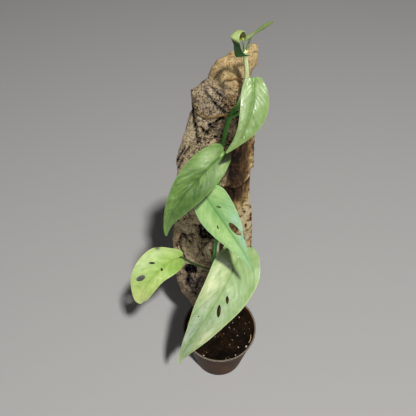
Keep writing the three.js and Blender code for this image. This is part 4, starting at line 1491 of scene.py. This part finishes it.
    def tones_at(self, station: float, share: float) -> Vector:
        """How silvery, how yellowish and how deep green one place is, each from 0 to 1, with the painted
        highlights, light and shade that these zones hold.
        """
        total = Vector((0.0, 0.0, 0.0))
        for g in self.glazes:
            off = oval_off(station, share, (g.station, g.share), g.reach)
            total[g.tone.value] += g.strength * bell(off, 1.0)
        grain = 0.75 + 0.6 * noise.fractal(Vector((station * 14, share * 5, self.seed)), 0.8, 2.0, 3)
        return Vector([clamp(part * grain) for part in total])

    def oval(self, hole: Hole, point: Vector) -> tuple[float, Vector]:
        """Where a point lies against a hole.

        Args:
            hole: The hole.
            point: The point, in millimetres.

        Returns:
            How many hole radii it is from the hole's middle, and its offset from there in the blade's plane.
        """
        centre, _ = self.middle(hole.station, hole.across)
        _, along, up, right = self.axes(hole.station)
        turn = math.radians(hole.turn)
        long = along * math.cos(turn) + right * math.sin(turn)
        wide = right * math.cos(turn) - along * math.sin(turn)
        off = point - centre
        flat = off - up * off.dot(up)
        return math.hypot(off.dot(long) / (hole.long / 2), off.dot(wide) / (hole.wide / 2)), flat

    def refine_round_holes(self, bm: bmesh.types.BMesh) -> None:
        """Splits the flat grid's faces round each hole, so that its rim is smooth."""
        close = set()
        for face in bm.faces:
            centre = face.calc_center_median()
            station, across, _ = self.spot(centre.x, centre.y)
            point, _ = self.middle(station, across)
            for hole in self.holes:
                if self.oval(hole, point)[0] < 1.6 + 1.2 / hole.wide:
                    close.update(face.edges)
        if close:
            bmesh.ops.subdivide_edges(bm, edges=list(close), cuts=2, use_grid_fill=True)

    def punch(self, bm: bmesh.types.BMesh) -> None:
        """Deletes the faces inside each hole and draws the rim onto the hole's oval."""
        for hole in self.holes:
            inside = [f for f in bm.faces if self.oval(hole, f.calc_center_median())[0] < 1]
            bmesh.ops.delete(bm, geom=inside, context="FACES")
            for vert in bm.verts:
                if not vert.is_boundary:
                    continue
                radii, flat = self.oval(hole, vert.co)
                if self.rim_from < radii < self.rim_to:
                    vert.co += flat * (1 / radii - 1)

    def build_petiole(self) -> None:
        """Sweeps the petiole from the stem to under the blade, thicker at its knee and grooved above."""
        under, _, up, _ = self.axes(0.05)
        points = [*(Vector(p) for p in self.petiole), self.knots[0] - self.axes(0)[2] * 0.4, under - up * 0.9]
        path = spline(points, self.petiole_step)
        length = self.petiole_step * (len(path) - 1)

        def radius(share: float, turn: float) -> float:
            """Radius with a wider foot, a knee near the blade and a groove along the top."""
            knee = 0.18 * bell((1 - share) * length - 9, 4)
            foot = 0.25 * (1 - smoothstep(0, 8, share * length))
            groove = 0.14 * bell(math.remainder(turn, 2 * math.pi), 0.5)
            taper = lerp(0.35, 1.0, smoothstep(0, 5, (1 - share) * length))
            return self.petiole_radius * (1 + knee + foot - groove) * taper * rounded(share, length, 1.0)

        bm = sweep(path, radius, self.petiole_sides)
        finish_piece(f"{self.node}_petiole", bm, self.stalk.material(), self.slot, self.node)


def young_petiole(name: str, route: Sequence[Triple], size: float, skin: VineSkin, node: str) -> None:
    """Sweeps the thin round petiole of a young leaf.

    Args:
        name: The piece's name.
        route: Points from the stem to the blade.
        size: Its radius.
        skin: Its finish.
        node: The frame's node that it stands for.
    """
    path = spline(route, FINE_STEP)
    length = FINE_STEP * (len(path) - 1)
    bm = sweep(path, lambda share, turn: size * rounded(share, length, 0.8), sides=16)
    finish_piece(name, bm, skin.material(), Slot.LEAF_YOUNG, node)


@dataclass
class HoodedLeaf:
    """The young leaf, half unrolled: it rises behind, arches over like a hood and hangs down in front."""

    petiole: tuple[Triple, ...] = ((11.2, 8.6, 534), (10.5, 5.6, 540), (9.7, 2.6, 546.6), (9.3, 2.9, 549))
    # Right edge, midrib and left edge at stations from the base to the tip
    net: tuple[tuple[Triple, Triple, Triple], ...] = (
        ((10.6, 1.8, 547), (9.8, 2, 546.6), (8.8, 1.8, 547)),
        ((11.4, 1.8, 549.1), (9.4, 3.4, 548), (6.9, 2.4, 547.9)),
        ((11.3, 1.2, 552.4), (9.2, 2.8, 551.9), (6.4, 1.8, 552.5)),
        ((10, -0.6, 555.8), (7.7, 0, 556.6), (4.9, 0.2, 556.1)),
        ((7.5, -3.8, 557), (5.2, -2.4, 557.1), (2.3, -1.4, 555.6)),
        ((6.1, -5.8, 554.6), (3.5, -5, 555.4), (0.4, -3.4, 554.7)),
        ((6.3, -6.4, 551.1), (3.4, -6.6, 553), (0, -4.6, 553.7)),
        ((7.3, -5, 547.1), (4.7, -4.6, 547.7), (2.1, -4.2, 548.6)),
        ((8.9, -4.6, 543), (5.7, -3.8, 542.5), (2.8, -4, 543)),
        ((11.2, -5, 540.3), (8.4, -4.4, 538.7), (4.8, -4.6, 537.5)),
        ((14.8, -5.6, 540.2), (15, -5.6, 539.9), (14.7, -5.6, 539.6)),
    )
    thick: float = 0.6
    petiole_radius: float = 0.8
    rows: int = 170
    columns: int = 40
    # The dark tip colour is the darker upper side of the half that hangs, painted further into shade where it
    # lies in the arch's shadow; the olive back paints the light that shines through the leaf inside the curl
    blade_skin: LeafSkin = LeafSkin(
        "leaf_6_skin", green="#98ae60", light="#b3c680", silver_and_highlight="#c8d6a4", tip="#1b430a", vein="#6f9040",
        margin_and_edge_highlight="#cfe0a8", back="#86862f", tip_from=0.6, tip_to=0.65, vein_depth=0.0, mottle=3.0,
    )  # fmt: skip
    stalk: VineSkin = VineSkin("young_leaf_petiole_skin", "#9dbb62", "#a9c470")

    def rib(self, rank: int, along: float) -> Vector:
        """A point of the right edge, the midrib or the left edge, whose ranks are 0, 1 and 2."""
        knots = [Vector(station[rank]) for station in self.net]
        knots = [knots[0] * 2 - knots[1], *knots, knots[-1] * 2 - knots[-2]]
        place = clamp(along) * (len(self.net) - 1)
        i = min(int(place), len(self.net) - 2)
        p0, p1, p2, p3 = knots[i : i + 4]
        return hermite(p1, (p2 - p0) * 0.5, p2, (p3 - p1) * 0.5, place - i)

    def build(self) -> None:
        """Bends the blade over its net, gives it its thickness and adds the petiole."""
        bm = flat_grid(self.rows, self.columns)
        place = bm.verts.layers.float_vector.new(Layer.PLACE.value)
        under = bm.verts.layers.float.new(Layer.UNDER.value)
        for vert in bm.verts:
            along, across = (vert.co.x + 1) / 2, vert.co.y
            right, middle, left = (self.rib(rank, along) for rank in range(3))
            vert.co = right * (across * (across + 1) / 2) + middle * (1 - across**2)
            vert.co += left * (across * (across - 1) / 2)
            # Only the right margin of the part that hangs is pale: a painted highlight on the edge that
            # catches the light
            pale = 1.0 if across > 0 else lerp(1.0, 0.9, smoothstep(0.55, 0.65, along))
            vert[place] = ((right - left).length, along, across * pale)
        facing = bm.verts.layers.float_vector.new(Layer.FACING.value)
        bm.normal_update()
        for vert in bm.verts:
            vert[facing] = vert.normal
            vert.co += vert.normal * (self.thick / 2)
        made = bmesh.ops.extrude_face_region(bm, geom=list(bm.faces), use_keep_orig=True)["geom"]
        for vert in (v for v in made if isinstance(v, bmesh.types.BMVert)):
            vert.co -= Vector(vert[facing]) * self.thick
            vert[under] = 1.0
        bmesh.ops.recalc_face_normals(bm, faces=bm.faces)
        finish_piece("leaf_6_blade", bm, self.blade_skin.material(), Slot.LEAF_YOUNG, "leaf_6_curled")
        young_petiole("leaf_6_petiole", self.petiole, self.petiole_radius, self.stalk, "leaf_6_curled")


@dataclass
class Spear:
    """The newest leaf, still rolled into a closed spear on its own petiole."""

    petiole: tuple[Triple, ...] = ((12.8, 9.4, 534), (14.2, 8.4, 540.5), (15, 6.4, 545), (15, 4.4, 549.5))
    blade: tuple[Triple, ...] = (
        (11.8, 5, 546.6), (15.6, 4, 550.6), (19.9, 2, 555.2), (24.4, 0, 560), (30.3, -2, 565.2),
    )  # fmt: skip
    radii: Pairs = ((0, 1.15), (0.12, 1.45), (0.35, 1.05), (0.6, 1.4), (0.85, 0.95), (1, 0.3))
    petiole_radius: float = 0.8
    seam_turn: float = 1.2
    seam_wind: float = 2.5
    # The scar colour is painted shade along the seam, where the blade's outer edge overlaps the roll
    blade_skin: VineSkin = VineSkin("rolled_leaf_skin", "#b3c985", "#7d9a45", scar_and_shade="#3f6a2a")
    stalk: VineSkin = VineSkin("young_petiole_skin", "#8fae5b", "#a9c47c")

    def build(self) -> None:
        """Sweeps the rolled blade with its seam, and the petiole."""
        path = spline(self.blade, FINE_STEP)
        length = FINE_STEP * (len(path) - 1)

        def rolled(share: float, turn: float) -> float:
            """Radius of the roll, with the blade's outer edge as a low step that winds round it."""
            step = math.remainder(turn - self.seam_turn - self.seam_wind * share, 2 * math.pi)
            seam = 0.16 * (smoothstep(-0.12, 0.0, step) - smoothstep(0.0, 1.6, step))
            return along_curve(self.radii, share) * (1 + seam) * rounded(share, length, 0.5)

        bm = sweep(path, rolled, sides=32)
        hollow = bm.verts.layers.float.new(Layer.SHADE_AND_SCAR.value)
        along = bm.verts.layers.float[Layer.ALONG.value]
        turned = bm.verts.layers.float[Layer.TURN.value]
        for vert in bm.verts:
            off = math.remainder(vert[turned] - self.seam_turn - self.seam_wind * vert[along], 2 * math.pi)
            # Painted shade at the foot of the seam's step
            vert[hollow] = 0.8 * bell(off + 0.3, 0.45) * smoothstep(0.05, 0.3, vert[along])
        finish_piece("leaf_7_roll", bm, self.blade_skin.material(), Slot.LEAF_YOUNG, "leaf_7_spear")
        young_petiole("leaf_7_petiole", self.petiole, self.petiole_radius, self.stalk, "leaf_7_spear")


@dataclass
class DrySheaths:
    """Dried leaf sheaths that lie on the soil along the rim."""

    soil: Soil
    radius: float = 0.9
    gap: float = 0.35
    routes: tuple[tuple[str, tuple[tuple[float, float], ...]], ...] = (
        ("dry_sheath_left", ((-47.7, 3), (-46, 9), (-41.5, 14.5), (-35.5, 18))),
        ("dry_sheath_right", ((45, -9), (44.2, -16), (41.5, -22.5))),
    )
    finish: DryFibre = DryFibre("papery_dry_sheath", "#8a6f45", "#cdb588")

    def build(self) -> None:
        """Sweeps each sheath as a shrunken, folded strip."""
        material = self.finish.material()
        for name, route in self.routes:
            top = self.soil.level + self.soil.bump / 2 + self.radius + self.gap
            path = spline([(x, y, top) for x, y in route], FINE_STEP)
            length = FINE_STEP * (len(path) - 1)

            def radius(share: float, turn: float, length: float = length) -> float:
                """Flattened section with a deep fold along one side."""
                flat = 0.72 + 0.28 * abs(math.cos(turn + share))
                fold = 0.35 * bell(math.remainder(turn - 2.2 - share, 2 * math.pi), 0.35)
                taper = lerp(1.0, 0.5, abs(2 * share - 1) ** 3)
                return self.radius * (flat - fold) * taper * rounded(share, length, 0.8)

            finish_piece(f"{name}_strip", sweep(path, radius, sides=20), material, Slot.SHEATH, name)


# Leaves of this plant

PETIOLE_GREEN = VineSkin("petiole_skin", "#4f9a2c", "#9abc78")
# A pale petiole whose colour also paints light on the stretch that lies in leaf_3's shadow
PETIOLE_PALE_AND_LIT = VineSkin("pale_petiole_with_painted_light", "#a9c88c", "#e3edcb")
PETIOLE_SHADED = VineSkin("shaded_petiole_skin", "#1f2a15", "#435a28")


def grown_leaves() -> list[Leaf]:
    """The five grown leaves, from the top of the vine down."""
    return [
        Leaf(
            node="leaf_1",
            slot=Slot.LEAF_PALE,
            skin=LeafSkin(
                "leaf_1_skin", green="#719148", light="#8eae62", silver_and_highlight="#cbdcac", tip="#8dab5d",
                vein="#6f904b", margin_and_edge_highlight="#b3c982", coat=0.3, smooth=0.28, dull=0.4, rib_depth=0.4,
            ),
            stalk=PETIOLE_GREEN,
            petiole=((3.3, 14.5, 465), (10, 8, 474), (17, 4, 496), (20, -3, 514)),
            midrib=((18, -12, 523), (20, -29, 509), (13, -35, 484), (-2, -36, 469)),
            face=(-0.08, -0.76, 0.64),
            left=(6.4, 9, 9.3, 8.1, 5.6, 3.4, 1.8),
            right=(6.3, 9.8, 12.3, 12.2, 8.5, 3.9, 1.6),
            lobe=1.6, fold=0.2, dome=2, wave=0.4,
            # The silver zone on the left half is a painted highlight, and the deep zone left of the midrib is
            # painted shade in its valley
            glazes=(
                Glaze(0.2, 0.45, (0.22, 0.35), 0.4), Glaze(0.32, -0.7, (0.32, 0.35), 0.9),
                Glaze(0.35, -0.12, (0.3, 0.14), 0.4, Tone.DEEP_GREEN_AND_SHADE), Glaze(0.8, 0.0, (0.15, 0.6), 0.4, Tone.LIME_AND_PAINTED_LIGHT),
            ),
            vein_gap=5.2, quilt=0.2, rows=150, columns=64, seed=1.0,
        ),
        Leaf(
            node="leaf_2",
            slot=Slot.LEAF_DARK,
            skin=LeafSkin(
                "leaf_2_skin", green="#547635", light="#779a4c", silver_and_highlight="#a9bf80", tip="#7fb045",
                vein="#3d5c25", margin_and_edge_highlight="#9ab86f", lime="#8db456", deep="#456a27", coat=0.08, smooth=0.4,
                dull=0.52,
            ),
            stalk=PETIOLE_GREEN,
            petiole=((-5.4, 14.8, 403), (-1, 7, 420), (0, -4, 438)),
            midrib=((-3, -14, 447), (-31, -43, 441), (-57, -45, 398), (-57, -40, 362)),
            face=(0.05, -0.66, 0.75),
            left=(11.7, 15.4, 16.4, 14.1, 9.2, 4.4, 2),
            right=(9, 13.4, 15.6, 14.6, 10.2, 5, 2.3),
            lobe=4, fold=0.16, dome=2.5, wave=0.6,
            # The silver zones on the two lobes by the base are painted highlights; the deep zones left of the
            # midrib and over the right half are painted shade
            glazes=(
                Glaze(0.1, -0.45, (0.08, 0.35), 0.8), Glaze(0.08, 0.6, (0.1, 0.35), 0.7),
                Glaze(0.4, -0.18, (0.25, 0.14), 0.6, Tone.DEEP_GREEN_AND_SHADE),
                Glaze(0.62, -0.6, (0.2, 0.4), 0.4, Tone.LIME_AND_PAINTED_LIGHT),
                Glaze(0.9, -0.1, (0.15, 0.8), 0.4, Tone.LIME_AND_PAINTED_LIGHT),
                Glaze(0.45, 0.55, (0.3, 0.4), 1.0, Tone.DEEP_GREEN_AND_SHADE),
            ),
            creases=(
                Crease((0.3, 0.0), (0.5, -0.6), 2.2, -1.3), Crease((0.2, -0.1), (0.4, -0.8), 2.2, 0.9),
                Crease((0.5, -0.03), (0.68, -0.6), 2.0, -1.0), Crease((0.42, -0.1), (0.58, -0.7), 2.0, 0.7),
                Crease((0.66, -0.05), (0.82, -0.6), 1.8, -0.7), Crease((0.25, 0.1), (0.42, 0.7), 2.2, 0.6),
            ),
            vein_gap=6.5, quilt=0.16, seed=2.0,
        ),
        Leaf(
            node="leaf_3",
            slot=Slot.LEAF_PALE,
            skin=LeafSkin(
                "leaf_3_skin", green="#7aa456", light="#98c073", silver_and_highlight="#9cc4b0", tip="#94b871",
                vein="#56803e", margin_and_edge_highlight="#a9c99d", lime="#b9d687", deep="#65964c", coat=0.03, smooth=0.5,
                dull=0.64,
            ),
            stalk=PETIOLE_GREEN,
            petiole=((-6, 14.8, 335), (-10, 9, 352), (-20, 3, 380)),
            midrib=((-23, -8, 394), (-4.2, -27, 370), (18.4, -52, 356.5), (28.3, -64, 335.4)),
            face=(-0.04, -0.61, 0.79),
            left=(12.6, 15.8, 18.3, 15.8, 10.6, 5, 2.2),
            right=(11.9, 18.2, 18.5, 15.5, 9.2, 2.7, 1.2),
            lobe=5, fold=0.15, dome=2.5, wave=0.6,
            holes=(
                Hole(0.225, 4.8, 4.7, 2, 39),
                Hole(0.375, -7.2, 3.9, 1.5, -17),
                Hole(0.484, 5.4, 16.6, 5.8, 9),
            ),
            # The deep zones along the midrib are painted shade in its valley
            glazes=(
                Glaze(0.55, 0.75, (0.24, 0.45), 0.9), Glaze(0.85, -0.3, (0.2, 0.7), 0.5),
                Glaze(0.2, 0.1, (0.14, 0.6), 0.6, Tone.DEEP_GREEN_AND_SHADE),
                Glaze(0.3, -0.55, (0.16, 0.25), 0.5, Tone.LIME_AND_PAINTED_LIGHT),
                Glaze(0.62, -0.45, (0.16, 0.35), 0.7, Tone.LIME_AND_PAINTED_LIGHT),
                Glaze(0.3, 0.12, (0.28, 0.14), 0.7, Tone.DEEP_GREEN_AND_SHADE), Glaze(0.08, 0.5, (0.1, 0.5), 0.4, Tone.LIME_AND_PAINTED_LIGHT),
            ),
            creases=(
                Crease((0.14, 0.25), (0.3, 0.75), 2.4, -0.7), Crease((0.2, -0.2), (0.4, -0.6), 2.2, 0.6),
            ),
            vein_gap=6.5, seed=3.0,
        ),
        Leaf(
            node="leaf_4",
            slot=Slot.LEAF_LIME,
            skin=LeafSkin(
                "leaf_4_skin", green="#90b54f", light="#b4d073", silver_and_highlight="#c8d99d", tip="#dcec90",
                vein="#7fa249", margin_and_edge_highlight="#dfe9a4", back="#c0ca7f", lime="#e0ec8e", deep="#82b03f",
                rib_depth=0.4, tip_from=0.6,
            ),
            stalk=PETIOLE_SHADED,
            petiole=((-10, 14.8, 217), (-15, 9, 227), (-30, 3, 245), (-42, -1, 262)),
            midrib=((-48, -2, 269), (-69, -22, 292), (-99, -44, 255), (-95, -36, 223)),
            face=(0.11, -0.53, 0.84),
            left=(8.2, 13.4, 23.6, 24.6, 20.2, 11, 5.5),
            right=(10.3, 13.6, 14.8, 12.7, 11.7, 9.5, 6),
            lobe=4, fold=0.16, dome=3, wave=0.6,
            holes=(
                Hole(0.357, -11.3, 7.2, 2.3, 134),
                Hole(0.325, 1.7, 3.4, 2.4, 64),
                Hole(0.566, -9.7, 11.5, 6.1, 155),
            ),
            # The pale tip colour and the lime zone at the tip are painted light on the tip, which curls down
            # away from the lamps
            glazes=(
                Glaze(0.3, -0.75, (0.35, 0.35), 0.7), Glaze(0.85, 0.0, (0.2, 0.9), 0.8, Tone.LIME_AND_PAINTED_LIGHT),
                Glaze(0.2, 0.6, (0.16, 0.4), 0.7, Tone.DEEP_GREEN_AND_SHADE), Glaze(0.5, 0.5, (0.2, 0.4), 0.4, Tone.LIME_AND_PAINTED_LIGHT),
            ),
            vein_gap=7.5, seed=4.0,
        ),
        Leaf(
            node="leaf_5",
            slot=Slot.LEAF_PALE,
            skin=LeafSkin(
                "leaf_5_skin", green="#84a55f", light="#a4c07e", silver_and_highlight="#c8d8c4", tip="#cfe6a8",
                vein="#7a9c57", margin_and_edge_highlight="#dbe6a7", back="#aebd7f", lime="#e2e9b1", deep="#7fa656",
                rib_depth=0.45, smooth=0.4, dull=0.55,
            ),
            stalk=PETIOLE_PALE_AND_LIT,
            petiole=(
                (-9, 14.8, 190), (-6, 9.5, 215), (-5.2, 9, 252), (-3.8, 8.5, 284), (3, 4, 303), (13, -5, 304),
            ),
            midrib=((19, -12, 296), (-2, -72, 273), (-50, -80, 204), (-53, -78, 141)),
            face=(0, -0.46, 0.89),
            left=(18.4, 22.9, 21.6, 18.1, 10.1, 4.6, 2),
            right=(22, 30.3, 29.5, 22.6, 15.7, 7.9, 2.9),
            lobe=8, fold=0.14, dome=4, wave=1,
            holes=(
                Hole(0.279, 9.5, 8.6, 3.6, 29),
                Hole(0.363, 8.1, 14.9, 4.5, 24),
                Hole(0.467, -7.5, 2.2, 1.6, 131),
            ),
            # The lime zone low on the right half and the pale tip colour are painted light where the blade
            # hangs down; the small silver zone round station 0.76 is a painted highlight
            glazes=(
                Glaze(0.24, -0.6, (0.16, 0.45), 0.9, Tone.LIME_AND_PAINTED_LIGHT), Glaze(0.62, -0.6, (0.16, 0.45), 0.95),
                Glaze(0.58, 0.75, (0.14, 0.4), 1.0, Tone.LIME_AND_PAINTED_LIGHT), Glaze(0.44, 0.5, (0.2, 0.4), 0.4),
                Glaze(0.76, 0.4, (0.06, 0.22), 0.8),
                Glaze(0.7, 0.4, (0.12, 0.4), 0.4, Tone.DEEP_GREEN_AND_SHADE), Glaze(0.4, -0.3, (0.12, 0.3), 0.4),
            ),
            creases=(
                Crease((0.26, -0.12), (0.5, -0.85), 1.6, 1.3), Crease((0.46, -0.05), (0.62, -0.35), 1.6, 0.9),
            ),
            vein_gap=9.0, rows=230, columns=96, seed=5.0,
        ),
    ]  # fmt: skip


# Studio


@dataclass
class Studio:
    """Plain pale floor, soft lights and the photograph's camera."""

    image: int = 416
    focal_pixels: float = 500
    sensor: float = 36
    camera_at: Triple = (-16.5, -330.4, 752.0)
    look_down: float = 50.15
    floor_half: float = 2500
    floor_colour: str = "#bfbdba"
    sky_colour: str = "#f2f2f2"
    sky: float = 0.022

    def build(self) -> None:
        """Lays the floor and sets the lights, the sky and the camera."""
        self.lay_floor()
        self.light("key_softbox", (446, -1152, 2697), (-10, 0, 320), 130, 74.0, glints=False)
        self.light("front_softbox", (-150, -2050, 950), (-10, 0, 300), 600, 5.0, glints=False)
        self.light("right_gloss_softbox", (180, -580, 1300), (10, -30, 480), 120, 4.5, shines=False)
        self.light("left_gloss_softbox", (-376, -836, 928), (10, -30, 480), 100, 5.0, shines=False)
        world = bpy.data.worlds.new("studio_air")
        world.use_nodes = True
        air = world.node_tree.nodes["Background"]
        air.inputs["Color"].default_value = linear(self.sky_colour)
        air.inputs["Strength"].default_value = self.sky
        bpy.context.scene.world = world
        bpy.context.scene.view_settings.view_transform = "Standard"
        self.set_camera()

    def lay_floor(self) -> None:
        """Lays a plain floor at the pot's foot."""
        bm = bmesh.new()
        bmesh.ops.create_grid(bm, x_segments=1, y_segments=1, size=self.floor_half * MM)
        mesh = bpy.data.meshes.new("studio_floor")
        bm.to_mesh(mesh)
        bm.free()
        finish = {"Base Color": self.floor_colour, "Roughness": 0.9}
        mesh.materials.append(NodeTree("matt_studio_floor").finish(finish))
        floor = bpy.data.objects.new("studio_floor", mesh)
        bpy.context.scene.collection.objects.link(floor)

    def light(
        self, name: str, at: Triple, towards: Triple, size: float, power: float, glints: bool = True,
        shines: bool = True,
    ) -> None:
        """Hangs one square soft light.

        Args:
            name: Its name.
            at: Its place.
            towards: The point that it faces.
            size: Its side.
            power: Its power in watts.
            glints: Whether glossy surfaces mirror it.
            shines: Whether it lights dull surfaces.
        """
        lamp = bpy.data.lights.new(name, "AREA")
        lamp.shape, lamp.size, lamp.energy = "SQUARE", size * MM, power
        holder = bpy.data.objects.new(name, lamp)
        holder.location = Vector(at) * MM
        holder.rotation_euler = (Vector(towards) - Vector(at)).to_track_quat("-Z", "Y").to_euler()
        holder.visible_glossy, holder.visible_diffuse = glints, shines
        bpy.context.scene.collection.objects.link(holder)

    def set_camera(self) -> None:
        """Sets the camera where the photograph was taken."""
        eye = bpy.data.cameras.new("photo_camera")
        eye.sensor_width = self.sensor
        eye.lens = self.focal_pixels / self.image * self.sensor
        eye.clip_start, eye.clip_end = 0.01, 20
        holder = bpy.data.objects.new("photo_camera", eye)
        holder.location = Vector(self.camera_at) * MM
        holder.rotation_euler = (math.radians(90 - self.look_down), 0, 0)
        bpy.context.scene.collection.objects.link(holder)
        bpy.context.scene.camera = holder


def main() -> None:
    """Builds the plant and its studio."""
    logging.basicConfig(level=logging.INFO, format="%(name)s: %(message)s")
    Studio().build()
    pot = NurseryPot()
    soil = Soil(pot)
    bark = BarkSlab()
    pot.build()
    soil.build()
    bark.build()
    Vine(bark).build()
    for leaf in grown_leaves():
        leaf.build()
    HoodedLeaf().build()
    Spear().build()
    AerialRoots(bark).build()
    DrySheaths(soil).build()


if __name__ == "__main__":
    main()
